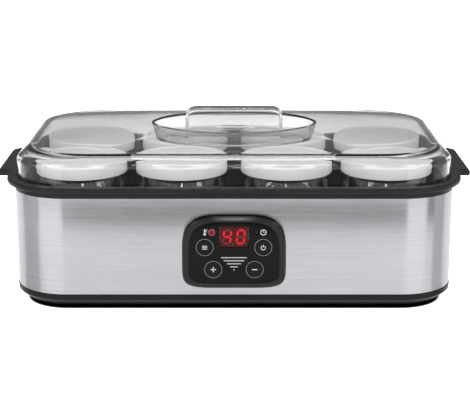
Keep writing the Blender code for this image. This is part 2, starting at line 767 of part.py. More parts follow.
def make_control_housing():
    plastic = finish("gloss_black_plastic", (0.012, 0.012, 0.013), 0.12)
    opening = BEVEL_INSET + GAP
    ledge_front = FACE_BACK - GAP
    ledge_back = ledge_front - LEDGE_THICKNESS
    profile = [
        (0, PANEL_BACK),
        (0, PANEL_FRONT - BEVEL_DEPTH),
        (BEVEL_INSET * 0.26, PANEL_FRONT - BEVEL_DEPTH * 0.40),
        (BEVEL_INSET, PANEL_FRONT),
        (opening, PANEL_FRONT),
        (opening, ledge_front),
        (opening + LEDGE_WIDTH, ledge_front),
        (opening + LEDGE_WIDTH, ledge_back),
        (PANEL_WALL, ledge_back),
        (PANEL_WALL, PANEL_BACK),
    ]
    rings = [panel_ring(inset, reach) for inset, reach in profile]
    housing = place("control_housing", loft("control_housing", rings, ends="joined"), plastic)
    pilot = SMALL_SCREW[2] + HOLE_CLEARANCE
    for side in (-1, 1):
        spot = {"location": (side * PANEL_SCREW_X, 0, PANEL_SCREW_Z), "rotation": TO_FRONT}
        reaches = (ledge_back + GAP, PANEL_BACK, ledge_back - GAP)
        join(housing, screw_post(f"panel_boss_{side}", pilot, *reaches, **spot))


def make_control_face():
    gloss = finish("panel_face_gloss", (0.010, 0.010, 0.011), 0.08)
    inset = BEVEL_INSET + 2 * GAP
    rings = [panel_ring(inset, FACE_BACK), panel_ring(inset, FACE_FRONT)]
    face = place("control_face", loft("control_face", rings), gloss)
    for name, x, z in button_places():
        hole = rod(
            f"{name}_hole",
            BUTTON_RADIUS + HOLE_CLEARANCE,
            FACE_BACK - GAP,
            FACE_FRONT + GAP,
            location=(x, 0, z),
            rotation=TO_FRONT,
        )
        cut(face, hole)
    for side in (-1, 1):
        hole = rod(
            f"led_hole_{side}",
            LED_RADIUS + HOLE_CLEARANCE,
            FACE_BACK - GAP,
            FACE_FRONT + GAP,
            location=(side * LED[0], 0, PANEL_BOTTOM + LED[1]),
            rotation=TO_FRONT,
        )
        cut(face, hole)
    window = box(
        "display_window",
        (-DISPLAY_HALF_WIDTH - GAP, -FACE_FRONT - GAP, PANEL_BOTTOM + DISPLAY_LOW - GAP),
        (DISPLAY_HALF_WIDTH + GAP, -FACE_BACK + GAP, PANEL_BOTTOM + DISPLAY_HIGH + GAP),
    )
    cut(face, window)


def button_places():
    upper_x, upper_rise = UPPER_BUTTON
    lower_x, lower_rise = LOWER_BUTTON
    return (
        ("menu_button", -upper_x, PANEL_BOTTOM + upper_rise),
        ("power_button", upper_x, PANEL_BOTTOM + upper_rise),
        ("plus_button", -lower_x, PANEL_BOTTOM + lower_rise),
        ("minus_button", lower_x, PANEL_BOTTOM + lower_rise),
    )


def make_buttons():
    plastic = finish("button_plastic", (0.015, 0.015, 0.016), 0.22)
    flange_front = FACE_BACK - GAP
    flange_back = flange_front - BUTTON_FLANGE_THICKNESS
    stem_back = CONTROL_BOARD_FRONT + GAP + SWITCH_HEIGHT + PLUNGER_HEIGHT + BUTTON_FREE_GAP
    profile = [
        (0, PANEL_FRONT),
        (BUTTON_RADIUS - BUTTON_EDGE, PANEL_FRONT),
        (BUTTON_RADIUS, PANEL_FRONT - BUTTON_EDGE),
        (BUTTON_RADIUS, flange_front),
        (BUTTON_RADIUS + BUTTON_FLANGE, flange_front),
        (BUTTON_RADIUS + BUTTON_FLANGE, flange_back),
        (BUTTON_STEM_RADIUS, flange_back),
        (BUTTON_STEM_RADIUS, stem_back),
        (0, stem_back),
    ]
    mesh = turned_mesh("button", profile)
    mesh.materials.append(plastic)
    for name, x, z in button_places():
        turned_copy(name, mesh, location=(x, 0, z), rotation=TO_FRONT)


def make_switches():
    switch_case = finish("switch_case", (0.06, 0.06, 0.06), 0.45)
    back = CONTROL_BOARD_FRONT + GAP
    front = back + SWITCH_HEIGHT
    half = SWITCH_SIDE / 2
    for name, x, z in button_places():
        switch = box(f"{name}_switch", (x - half, -front, z - half), (x + half, -back, z + half), switch_case)
        plunger = rod(
            f"{name}_plunger",
            PLUNGER_RADIUS,
            front - GAP,
            front + PLUNGER_HEIGHT,
            location=(x, 0, z),
            rotation=TO_FRONT,
        )
        join(switch, plunger)


def make_display():
    lens = finish("display_lens", (0.16, 0.01, 0.01), 0.10)
    front = FACE_FRONT - DISPLAY_RECESS
    box(
        "display_module",
        (-DISPLAY_HALF_WIDTH, -front, PANEL_BOTTOM + DISPLAY_LOW),
        (DISPLAY_HALF_WIDTH, -CONTROL_BOARD_FRONT - GAP, PANEL_BOTTOM + DISPLAY_HIGH),
        lens,
    )
    back = CONTROL_BOARD_FRONT + GAP
    lit = (0.45, 0.02, 0.02)
    dark = (0.05, 0.04, 0.04)
    for name, side, colour in (("temperature_led", -1, lit), ("timer_led", 1, dark)):
        profile = [
            (0, front),
            (LED_RADIUS * 0.7, front - LED_RADIUS * 0.3),
            (LED_RADIUS, front - LED_RADIUS),
            (LED_RADIUS, back),
            (0, back),
        ]
        glow = finish(f"{name}_lens", colour, 0.15)
        spot = (side * LED[0], 0, PANEL_BOTTOM + LED[1])
        turned(name, turned_mesh(name, profile), glow, location=spot, rotation=TO_FRONT, steps=12)


def make_control_board():
    laminate = finish("control_laminate", (0.05, 0.22, 0.09), 0.45)
    half = PANEL_HALF_WIDTH - CONTROL_BOARD_INSET
    low = (-half, -CONTROL_BOARD_FRONT, PANEL_BOTTOM + CONTROL_BOARD_LOW)
    high = (half, -CONTROL_BOARD_BACK, PANEL_BOTTOM + CONTROL_BOARD_HIGH)
    board = box("control_board", low, high, laminate)
    for side in (-1, 1):
        hole = rod(
            f"board_hole_{side}",
            SMALL_SCREW[2] + HOLE_CLEARANCE,
            CONTROL_BOARD_BACK - GAP,
            CONTROL_BOARD_FRONT + GAP,
            location=(side * PANEL_SCREW_X, 0, PANEL_SCREW_Z),
            rotation=TO_FRONT,
        )
        cut(board, hole)


def power_screw_places():
    x, y = POWER_BOARD_CENTRE
    reach = POWER_BOARD_HALF_X - POWER_SCREW_INSET
    return [(x - reach, y), (x + reach, y)]


def on_power_board(name, offset, size, material, edge):
    x = POWER_BOARD_CENTRE[0] + offset[0]
    y = POWER_BOARD_CENTRE[1] + offset[1]
    low = (x - size[0] / 2, y - size[1] / 2, POWER_BOARD_TOP + GAP)
    high = (x + size[0] / 2, y + size[1] / 2, POWER_BOARD_TOP + GAP + size[2])
    box(name, low, high, material, edge)


def make_power_electronics():
    x, y = POWER_BOARD_CENTRE
    laminate = finish("power_laminate", (0.28, 0.18, 0.06), 0.50)
    board = box(
        "power_board",
        (x - POWER_BOARD_HALF_X, y - POWER_BOARD_HALF_Y, POWER_BOARD_BOTTOM),
        (x + POWER_BOARD_HALF_X, y + POWER_BOARD_HALF_Y, POWER_BOARD_TOP),
        laminate,
    )
    for number, (hole_x, hole_y) in enumerate(power_screw_places(), 1):
        hole = rod(
            f"power_board_hole_{number}",
            SMALL_SCREW[2] + HOLE_CLEARANCE,
            POWER_BOARD_BOTTOM - GAP,
            POWER_BOARD_TOP + GAP,
            location=(hole_x, hole_y, 0),
        )
        cut(board, hole)
    core = finish("transformer_core", (0.75, 0.62, 0.18), 0.50)
    case = finish("relay_case", (0.04, 0.10, 0.32), 0.35)
    on_power_board("transformer", TRANSFORMER_OFFSET, TRANSFORMER_SIZE, core, 0.0010)
    on_power_board("relay", RELAY_OFFSET, RELAY_SIZE, case, 0.0005)
    sleeve = finish("capacitor_sleeve", (0.05, 0.05, 0.12), 0.35)
    half = CAPACITOR_HALF_LENGTH
    rod(
        "capacitor",
        CAPACITOR_RADIUS,
        -half,
        half,
        sleeve,
        location=(x + CAPACITOR_OFFSET[0], y + CAPACITOR_OFFSET[1], POWER_BOARD_TOP + GAP + CAPACITOR_RADIUS),
        rotation=TO_RIGHT,
    )
    nylon = finish("terminal_nylon", (0.80, 0.79, 0.74), 0.50)
    width, depth, height = TERMINAL_SIZE
    middle = TERMINAL_INSET - BODY_HALF_X
    low = (middle - width / 2, -depth / 2, BASE_FLOOR + GAP)
    high = (middle + width / 2, depth / 2, BASE_FLOOR + GAP + height)
    box("terminal_block", low, high, nylon, 0.0008)


def make_wiring():
    sleeve = finish("lead_silicone", (0.70, 0.70, 0.66), 0.55)
    start_x = -HEATER_HALF_LENGTH - GAP
    terminal_x = TERMINAL_INSET - BODY_HALF_X
    reach = (HEATER_PASSES - 1) / 2 * HEATER_PITCH
    pin_z = BASE_FLOOR + TERMINAL_SIZE[2] + 2 * GAP
    for number, side in enumerate((-1, 1), 1):
        start = (start_x, side * reach, HEATER_Z)
        leave = (terminal_x, side * reach, HEATER_Z)
        arrive = (terminal_x, side * TERMINAL_SIZE[1] / 4, HEATER_Z)
        above = (terminal_x, side * TERMINAL_SIZE[1] / 4, pin_z + 2 * LEAD_RADIUS)
        end = (terminal_x, side * TERMINAL_SIZE[1] / 4, pin_z)
        route = [*bezier_run(start, leave, arrive, above), Vector(end)]
        tube(f"heater_lead_{number}", route, LEAD_RADIUS, sleeve)
    ribbon_grey = finish("ribbon_grey", (0.45, 0.46, 0.48), 0.50)
    back = -CONTROL_BOARD_BACK + GAP + RIBBON_THICKNESS
    board_front = POWER_BOARD_CENTRE[1] - POWER_BOARD_HALF_Y
    lie = POWER_BOARD_TOP + GAP + RIBBON_THICKNESS
    start = (0, back, PANEL_BOTTOM + CONTROL_BOARD_LOW + RIBBON_WIDTH / 2)
    end = (0, board_front + RIBBON_WIDTH / 2, lie)
    path = bezier_run(start, (0, back, lie), (0, back + RIBBON_WIDTH, lie), end)
    edges = (RIBBON_X - RIBBON_WIDTH / 2, RIBBON_X + RIBBON_WIDTH / 2)
    shape = bmesh.new()
    rows = [[shape.verts.new((x, point.y, point.z)) for x in edges] for point in path]
    for low, high in zip(rows, rows[1:]):
        shape.faces.new((low[0], low[1], high[1], high[0]))
    ribbon = place("ribbon_cable", mesh_of("ribbon_cable", shape), ribbon_grey)
    flat = ribbon.modifiers.new("thickness", "SOLIDIFY")
    flat.thickness = RIBBON_THICKNESS
    flat.offset = 0


def gland_place():
    return (BODY_HALF_X - GLAND_INSET, 0, BODY_BOTTOM + GLAND_RISE)


def make_gland():
    rubber = finish("gland_rubber", (0.025, 0.025, 0.026), 0.60)
    inside = BODY_HALF_Y - SHEET - GAP
    outside = BODY_HALF_Y + GAP
    tip = BODY_HALF_Y + GLAND_REACH
    profile = [
        (GLAND_BORE, tip),
        (GLAND_TIP_RADIUS, tip),
        (GLAND_TIP_RADIUS + GLAND_STEP, outside + GLAND_FLANGE),
        (GLAND_FLANGE_RADIUS, outside + GLAND_FLANGE),
        (GLAND_FLANGE_RADIUS, outside),
        (GLAND_NECK_RADIUS, outside),
        (GLAND_NECK_RADIUS, inside),
        (GLAND_FLANGE_RADIUS - GLAND_STEP, inside),
        (GLAND_FLANGE_RADIUS - GLAND_STEP, inside - GLAND_FLANGE),
        (GLAND_BORE, inside - GLAND_FLANGE),
        (GLAND_BORE, tip),
    ]
    turned("cord_gland", turned_mesh("cord_gland", profile), rubber, location=gland_place(), rotation=TO_BACK)


def oval_ring(half_x, half_y, z, guide):
    """An oval whose points face the points of a guide ring."""
    longest = max(abs(point.x) for point in guide)
    widest = max(abs(point.y) for point in guide)
    angles = [math.atan2(point.y / widest, point.x / longest) for point in guide]
    return [Vector((half_x * math.cos(angle), half_y * math.sin(angle), z)) for angle in angles]


def cover_rings():
    """Rings from the bottom of the skirt, over the shoulder and the crown, and down into the grip recess."""
    division = {"long_steps": 4, "short_steps": 2}
    profile = [
        (0, COVER_BOTTOM),
        (0, SHOULDER_START - SHOULDER_ROUNDING),
        (SHOULDER_ROUNDING, SHOULDER_START + SHOULDER_ROUNDING),
    ]
    rings = [body_ring(-COVER_INSET - inset, z, **division) for inset, z in profile]
    edge_x = BODY_HALF_X - COVER_INSET - SHOULDER_INSET
    edge_y = BODY_HALF_Y - COVER_INSET - SHOULDER_INSET
    edge = rounded_rectangle(edge_x, edge_y, TOP_CORNER, SHOULDER_TOP, **division)
    rings.append(edge)
    brim = oval_ring(RECESS_HALF_X, RECESS_HALF_Y, CROWN_TOP, edge)
    for share in (0.2, 0.45, 0.75):
        rise = CROWN_RISE * (1 - (1 - share) ** CROWN_POWER)
        ring = [low.lerp(high, share) for low, high in zip(edge, brim)]
        rings.append([Vector((point.x, point.y, SHOULDER_TOP + rise)) for point in ring])
    rings.append(brim)
    rings.append(oval_ring(RECESS_HALF_X - RECESS_DRAFT, RECESS_HALF_Y - RECESS_DRAFT, RECESS_FLOOR, edge))
    return rings


def grip_rings():
    """The raised bar that stands in the recess, with rounded upper ends."""
    root = RECESS_FLOOR - COVER_WALL / 2
    top = RECESS_FLOOR + GRIP_HEIGHT
    heights = [(root, 0)]
    for angle in (0, 30, 60, 90):
        drop = GRIP_CORNER * (1 - math.sin(math.radians(angle)))
        heights.append((top - drop, GRIP_CORNER * (1 - math.cos(math.radians(angle)))))
    rings = []
    for z, shortening in heights:
        share = (z - root) / (top - root)
        half_width = GRIP_HALF_WIDTH - GRIP_TAPER * share
        rings.append(rounded_rectangle(GRIP_HALF_LENGTH - shortening, half_width, half_width * 0.8, z))
    return rings


def make_cover():
    clear = finish("clear_cover", (0.86, 0.87, 0.88), 0.05, transmission=1.0)
    cover = place("cover", loft("cover", cover_rings(), ends="open_start"), clear)
    wall = cover.modifiers.new("wall", "SOLIDIFY")
    wall.thickness = COVER_WALL
    wall.offset = -1
    wall.use_even_offset = True
    join(cover, place("grip", loft("grip", grip_rings())))


def jar_profile():
    """From the middle of the inside floor up to the mouth and down the outside."""
    foot = JAR_RADIUS - JAR_FOOT_INSET
    neck_inside = JAR_NECK_RADIUS - GLASS
    inside = JAR_RADIUS - GLASS
    bead = JAR_NECK_RADIUS + JAR_BEAD
    shoulder_low = JAR_HEIGHT - JAR_SHOULDER_DROP
    shoulder_high = JAR_HEIGHT - JAR_NECK_HEIGHT
    return [
        (0, 2 * GLASS),
        (foot - GLASS, 2 * GLASS),
        (inside, 4 * GLASS),
        (inside, shoulder_low),
        (neck_inside, shoulder_high),
        (neck_inside, JAR_HEIGHT),
        (bead, JAR_HEIGHT),
        (bead, JAR_HEIGHT - 2 * JAR_BEAD),
        (JAR_NECK_RADIUS, JAR_HEIGHT - 3 * JAR_BEAD),
        (JAR_NECK_RADIUS, shoulder_high),
        (JAR_RADIUS, shoulder_low),
        (JAR_RADIUS, 2 * GLASS),
        (foot, 0),
        (0, 0),
    ]


def lid_profile():
    """Heights run from the jar's mouth: the lid's skirt hangs over it and a short plug ring enters it."""
    top = LID_HEIGHT - LID_OVERLAP
    bottom = -LID_OVERLAP
    plug = JAR_NECK_RADIUS - GLASS - HOLE_CLEARANCE
    face = top - LID_RECESS
    return [
        (0, face),
        (LID_RADIUS - LID_RIM_WIDTH, face),
        (LID_RADIUS - LID_RIM_WIDTH, top),
        (LID_RADIUS - LID_EDGE, top),
        (LID_RADIUS, top - LID_EDGE),
        (LID_RADIUS, bottom),
        (LID_RADIUS - LID_WALL, bottom),
        (LID_RADIUS - LID_WALL, GAP),
        (plug, GAP),
        (plug, -LID_PLUG_DEPTH),
        (plug - LID_PLUG_WALL, -LID_PLUG_DEPTH),
        (plug - LID_PLUG_WALL, GAP),
        (0, GAP),
    ]


def jar_places():
    """Centres of the jars, from the front left to the back right."""
    for row in range(JAR_ROWS):
        for column in range(JAR_COLUMNS):
            place_in_row = column - (JAR_COLUMNS - 1) / 2
            x = place_in_row * JAR_PITCH_X + math.copysign(JAR_MIDDLE_EXTRA / 2, place_in_row)
            y = (row - (JAR_ROWS - 1) / 2) * JAR_PITCH_Y
            yield x, y


def make_jars():
    glass = finish("jar_glass", (0.90, 0.93, 0.92), 0.02, transmission=1.0)
    white = finish("white_lid_plastic", (0.86, 0.86, 0.87), 0.35)
    jar_mesh = turned_mesh("jar", jar_profile())
    jar_mesh.materials.append(glass)
    lid_mesh = turned_mesh("jar_lid", lid_profile())
    lid_mesh.materials.append(white)
    for number, (x, y) in enumerate(jar_places(), 1):
        jar = turned_copy(f"jar_{number}", jar_mesh, TURN_STEPS, location=(x, y, JAR_BOTTOM))
        lid = turned_copy(f"jar_lid_{number}", lid_mesh, TURN_STEPS, location=(0, 0, JAR_HEIGHT))
        lid.parent = jar


def main():
    clear_scene()
    make_outer_shell()
    make_basin()
    make_base()
    make_feet()
    make_screws()
    make_heater()
    make_sensors()
    make_control_housing()
    make_control_face()
    make_buttons()
    make_switches()
    make_display()
    make_control_board()
    make_power_electronics()
    make_wiring()
    make_gland()
    make_cover()
    make_jars()


main()
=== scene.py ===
"""Looks for the eight-jar yogurt maker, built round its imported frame. Metres, +Z up, the panel faces -Y."""

import math

import bmesh
import bpy
from mathutils import Matrix, Vector


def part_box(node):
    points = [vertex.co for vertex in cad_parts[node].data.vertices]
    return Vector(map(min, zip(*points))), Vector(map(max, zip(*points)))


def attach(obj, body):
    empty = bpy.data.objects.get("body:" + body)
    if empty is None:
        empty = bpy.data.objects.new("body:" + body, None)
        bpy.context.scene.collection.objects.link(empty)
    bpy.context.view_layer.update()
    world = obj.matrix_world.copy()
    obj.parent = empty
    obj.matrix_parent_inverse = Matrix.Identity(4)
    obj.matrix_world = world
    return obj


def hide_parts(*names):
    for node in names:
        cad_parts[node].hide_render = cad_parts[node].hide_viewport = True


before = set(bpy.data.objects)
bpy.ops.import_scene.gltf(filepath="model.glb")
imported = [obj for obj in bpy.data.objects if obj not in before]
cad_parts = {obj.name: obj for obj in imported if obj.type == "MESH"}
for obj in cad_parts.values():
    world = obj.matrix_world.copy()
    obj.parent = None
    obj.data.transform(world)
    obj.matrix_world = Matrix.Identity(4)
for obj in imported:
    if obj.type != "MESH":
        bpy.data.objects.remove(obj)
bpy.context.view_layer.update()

# Boxes of the frame's own parts
SHELL_LOW, SHELL_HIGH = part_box("outer_shell")
BASIN_LOW, BASIN_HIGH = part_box("inner_basin")
COVER_LOW, COVER_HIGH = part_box("cover")
BASE_LOW, BASE_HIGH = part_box("base_pan")
POD_LOW, POD_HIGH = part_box("control_housing")
FACE_LOW, FACE_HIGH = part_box("control_face")
DISPLAY_LOW, DISPLAY_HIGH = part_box("display_module")
HALF_X = SHELL_HIGH.x
HALF_Y = SHELL_HIGH.y
JARS = range(1, 9)
CORNERS = range(1, 5)
GAP = 0.0003

# Fineness
CORNER_STEPS = 22
LONG_STEPS = 10
SHORT_STEPS = 60
TURN_STEPS = 72
POD_STEPS = 160

# Body
BODY_CORNER = 0.0435
SHEET = 0.0008
HEM = 0.00022
SEAM_WIDTH = 0.0016
BODY_TOP = SHELL_HIGH.z + GAP
BODY_BOTTOM = SHELL_LOW.z - GAP

# Base
BASE_PROUD = 0.0004
BASE_BAND = 0.0042
BASE_STEP = 0.0010
BASE_TUCK = 0.0080
BASE_WALL = 0.0022
BASE_CORNER = BODY_CORNER - BASE_TUCK
SCREW_BORE = 0.0034
SCREW_BORE_TOP = 0.0140
SCREW_HEAD = 0.0022
SCREW_SHANK = 0.0015
VENT_LENGTH = 0.0300
VENT_WIDTH = 0.0024
VENT_PITCH = 0.0060
VENT_COUNT = 9

# Basin, rim and carrying lugs
BASIN_WALL = 0.0020
BASIN_FLOOR = 0.0290
BASIN_FILLET = 0.0050
BASIN_INSET = 0.0076
BASIN_DRAFT = 0.0040
COLLAR_HEIGHT = 0.0048
RIM_OVERHANG = 0.0062
RIM_THICKNESS = 0.0042
RIM_ROUNDING = 0.0014
RIM_TOP = BASIN_HIGH.z
SEAT_OUT = 0.0014
SEAT_IN = 0.0061
SEAT_DEPTH = 0.0020
SEAT_LIP = 0.0008
LUG_REACH = BASIN_HIGH.x - HALF_X - RIM_OVERHANG
LUG_ROOT_HALF = 0.0460
LUG_BLEND = 0.0105
LUG_DROP = 0.0023
LUG_RECESS = 0.0013
LUG_WALL = 0.0026
LUG_ROUNDING = 0.0024
REST_RADIUS = 0.0355
REST_WIDTH = 0.0012
REST_HEIGHT = 0.0016

# Cover
COVER_INSET = HALF_X - COVER_HIGH.x
COVER_WALL = 0.0022
SHOULDER_INSET = 0.0085
SHOULDER_RISE = 0.0074
SHOULDER_ROUNDING = 0.0040
SHOULDER_BEAD = 0.0005
CROWN_RISE = 0.0086
CROWN_POWER = 1.5
TOP_CORNER = 0.0480
BRIM_HALF = (0.0668, 0.0430)
BRIM_ROUNDING = 0.0009
RECESS_DRAFT = 0.0035
RECESS_DEPTH = 0.0125
RECESS_FILLET = 0.0016
GRIP_HALF_LENGTH = 0.0405
GRIP_HALF_WIDTH = 0.0066
GRIP_TAPER = 0.0018
GRIP_HEIGHT = 0.0248
GRIP_CORNER = 0.0078
GRIP_POWER = 7.0
GRIP_ROOT = 0.0016
GRIP_EDGE = 0.0008

# Jars and lids
GLASS = 0.0025
JAR_FOOT_INSET = 0.0030
JAR_SHOULDER_DROP = 0.0231
JAR_NECK_HEIGHT = 0.0093
JAR_NECK_RADIUS = 0.0298
JAR_BEAD = 0.0017
LID_WALL = 0.0014
LID_RIM = 0.0035
LID_RECESS = 0.0006
LID_EDGE = 0.0017
LID_STEP = 0.0005
LID_PLUG_DEPTH = 0.0050
LID_PLUG_WALL = 0.0012

# Control panel
POD_SHOULDER = 0.0240
POD_TOP_POWER = 3.7
POD_BOTTOM_POWER = 5.6
BEVEL_INSET = 0.0049
BEVEL_DEPTH = 0.0042
POD_WALL = 0.0022
LEDGE_WIDTH = 0.0018
LEDGE_WALL = 0.0016
PRINT = 0.00006
BUTTON_RADIUS = 0.0060
BUTTON_FLANGE = 0.0012
BUTTON_STEM = 0.0020
BUTTON_DISH = 0.00012
BUTTON_RING_RADIUS = 0.00665
BUTTON_RING_WIDTH = 0.00034
BUTTONS = ("menu_button", "power_button", "plus_button", "minus_button")
LAMPS = ("temperature_led", "timer_led")
LAMP_RING_WIDTH = 0.0006
SIGN_LENGTH = 0.0040
SIGN_STROKE = 0.0005
KEY_LENGTH = 0.0042
KEY_STROKE = 0.0007
CLOCK_RADIUS = 0.0021
DIGIT_HEIGHT = 0.0124
DIGIT_WIDTH = 0.0072
DIGIT_STROKE = 0.0018
DIGIT_GAP = 0.00035
DIGIT_SLANT = 0.10
DIGIT_SPREAD = 0.0106
POINT_RADIUS = 0.0006
BAR_HALVES = (0.0101, 0.0080, 0.0055, 0.0031)
BAR_TOP_DROP = 0.0084
BAR_PITCH = 0.0025
BAR_STROKE = 0.0008

# Cord outlet
GLAND_BORE = 0.0034
GLAND_TIP = 0.0048
GLAND_NOSE = 0.0056
GLAND_NECK = 0.0050
GLAND_FLANGE = 0.0026
GLAND_INSET = 0.0008
RIB_RADIUS = 0.0051
RIB_WIDTH = 0.0010
RIB_HEIGHT = 0.0007
RIB_START = 0.0012
RIB_PITCH = 0.0014
RIB_COUNT = 4

# Studio and camera
FLOOR_HALF = 9
CARD_LIFT = 0.0004
STRIP_FAR = 1.25
STRIP_NEAR = 0.15
DOME_TOP = 0.55
LAMP_AIM = Vector((0, 0, 0.08))
CAMERA_SPOT = (0.0008, -1.0974, 0.3563)
CAMERA_TILT = math.radians(74.81)
CAMERA_LENS = 102.13
CAMERA_SENSOR = 36

# Cards on the floor round the machine, that its corners reflect
WHITE_CARDS = (
    ((-0.140, -0.116), (-0.165, -0.112), (-1.207, -0.603), (-0.390, -1.287)),
    ((0.140, -0.116), (0.430, -1.280), (1.178, -0.746), (0.166, -0.110)),
)
GREY_CARDS = (
    ((-0.172, -0.101), (-1.256, -0.569), (-1.299, 0.314), (-0.178, -0.074)),
    ((0.178, -0.074), (1.299, 0.300), (1.256, -0.380), (0.174, -0.094)),
)

TO_FRONT = Matrix.Rotation(math.radians(90), 4, "X")
TO_BACK = Matrix.Rotation(math.radians(-90), 4, "X")
UPRIGHT = math.radians(90)
FACING_FRONT = (UPRIGHT, 0, 0)


class Value:
    """A number socket that takes part in sums; each sum adds its Math node."""

    def __init__(self, nodes, socket):
        self.nodes = nodes
        self.socket = socket

    def sum(self, operation, first, second):
        node = self.nodes.add("ShaderNodeMath", {"operation": operation}, {0: first, 1: second})
        return Value(self.nodes, node.outputs[0])

    def size(self):
        return self.sum("ABSOLUTE", self, 0)

    def at_least(self, other):
        return self.sum("MAXIMUM", self, other)

    def __add__(self, other):
        return self.sum("ADD", self, other)

    def __sub__(self, other):
        return self.sum("SUBTRACT", self, other)

    def __mul__(self, other):
        return self.sum("MULTIPLY", self, other)

    def __pow__(self, other):
        return self.sum("POWER", self, other)

    def __radd__(self, other):
        return self.sum("ADD", other, self)

    def __rsub__(self, other):
        return self.sum("SUBTRACT", other, self)

    def __rmul__(self, other):
        return self.sum("MULTIPLY", other, self)


class Nodes:
    """A node tree that is filled through one method."""

    def __init__(self, tree):
        self.tree = tree

    def add(self, kind, settings=None, sockets=None):
        node = self.tree.nodes.new(kind)
        for name, setting in (settings or {}).items():
            if name == "stops":
                self.set_stops(node.color_ramp, setting)
            else:
                setattr(node, name, setting)
        for name, value in (sockets or {}).items():
            if isinstance(value, Value):
                value = value.socket
            if isinstance(value, bpy.types.NodeSocket):
                self.tree.links.new(value, node.inputs[name])
            else:
                node.inputs[name].default_value = value
        return node

    def value(self, *described):
        return Value(self, self.add(*described).outputs[0])

    def spread(self, value, start, end, way="LINEAR"):
        """How far the value is from start to end, held between 0 and 1."""
        ends = {"Value": value, 1: start, 2: end, 3: 0.0, 4: 1.0}
        return self.value("ShaderNodeMapRange", {"interpolation_type": way}, ends)

    @staticmethod
    def set_stops(ramp, stops):
        ramp.elements.remove(ramp.elements[1])
        ramp.elements[0].position = stops[0][0]
        for position, _ in stops[1:]:
            ramp.elements.new(position)
        for element, (_, level) in zip(ramp.elements, stops):
            element.color = (level, level, level, 1)


class Finish(Nodes):
    """A Principled material worked out from a piece's own Object coordinates."""

    def __init__(self, name, **constants):
        self.material = bpy.data.materials.new(name)
        self.material.use_nodes = True
        super().__init__(self.material.node_tree)
        self.shader = self.tree.nodes["Principled BSDF"]
        self.output = self.tree.nodes["Material Output"]
        for words, constant in constants.items():
            self.shader.inputs[words.replace("_", " ").title().replace("Ior", "IOR")].default_value = constant
        self.place = self.add("ShaderNodeTexCoord").outputs["Object"]

    def stretched(self, stretch):
        return self.add("ShaderNodeMapping", None, {"Vector": self.place, "Scale": stretch}).outputs[0]

    def noise(self, scale, stretch=(1, 1, 1), detail=2.0):
        sockets = {"Vector": self.stretched(stretch), "Scale": scale, "Detail": detail}
        return self.value("ShaderNodeTexNoise", None, sockets)

    def cells(self, scale, stretch=(1, 1, 1)):
        return self.value("ShaderNodeTexVoronoi", None, {"Vector": self.stretched(stretch), "Scale": scale})

    def waves(self, scale, direction, distortion=0.0):
        settings = {"wave_type": "BANDS", "bands_direction": direction}
        sockets = {"Vector": self.place, "Scale": scale, "Distortion": distortion}
        return self.value("ShaderNodeTexWave", settings, sockets)

    def ramp(self, factor, *stops):
        return self.value("ShaderNodeValToRGB", {"stops": stops}, {0: factor})

    def mixed(self, factor, first, second):
        """A mix of two colours; either may be a colour or another mix."""
        ends = {0: factor}
        for index, end in ((6, first), (7, second)):
            ends[index] = (*end, 1) if isinstance(end, tuple) else end
        return self.add("ShaderNodeMix", {"data_type": "RGBA"}, ends).outputs[2]

    def from_core(self, front_only):
        """How far a point lies from the rectangle that the machine's corner centres make."""
        parts = self.add("ShaderNodeSeparateXYZ", None, {0: self.place}).outputs
        x, y, _ = (Value(self, part) for part in parts)
        forward = 0 - y if front_only else y.size()
        across = (x.size() - (HALF_X - BASE_TUCK - BASE_CORNER)).at_least(0)
        along = (forward - (HALF_Y - BASE_TUCK - BASE_CORNER)).at_least(0)
        return (across * across + along * along) ** 0.5, y

    def eased(self, value, start, end):
        return self.spread(value, start, end, "SMOOTHSTEP")

    def drive(self, name, value):
        socket = value.socket if isinstance(value, Value) else value
        self.tree.links.new(socket, self.shader.inputs[name])

    def raise_surface(self, height, distance, strength=1.0):
        sockets = {"Height": height, "Distance": distance, "Strength": strength}
        self.drive("Normal", self.add("ShaderNodeBump", None, sockets).outputs[0])

    def let_lamps_through(self, tint):
        """Lamps and scattered light pass straight through, so that what is inside stays lit."""
        path = self.add("ShaderNodeLightPath").outputs
        soft = self.value("ShaderNodeMath", {"operation": "MAXIMUM"}, {0: path[1], 1: path[2]})
        clear = self.add("ShaderNodeBsdfTransparent", None, {"Color": (*tint, 1)}).outputs[0]
        mixed = self.add("ShaderNodeMixShader", None, {0: soft, 1: self.shader.outputs[0], 2: clear})
        self.tree.links.new(mixed.outputs[0], self.output.inputs[0])


def moulded(name, dark, light, roughness, grain, depth, **constants):
    """Moulded plastic or rubber: soft shade changes, uneven sheen and a fine grain."""
    finish = Finish(name, **constants)
    cloud = finish.noise(24, detail=3)
    speck = finish.noise(grain, detail=1)
    finish.drive("Base Color", finish.mixed(cloud * 0.7 + speck * 0.3, dark, light))
    finish.drive("Roughness", roughness - 0.05 + cloud * 0.07 + speck * 0.04)
    finish.raise_surface(speck, depth)
    return finish.material


def metal(name, dark, light, roughness, stretch, depth):
    """Bare metal with a grain that runs across the stretched axis."""
    finish = Finish(name, metallic=1.0)
    grain = finish.noise(1, stretch, detail=2)
    cloud = finish.noise(60, detail=2)
    finish.drive("Base Color", finish.mixed(grain, dark, light))
    finish.drive("Roughness", roughness - 0.05 + grain * 0.10 + cloud * 0.06)
    finish.raise_surface(grain, depth)
    return finish.material


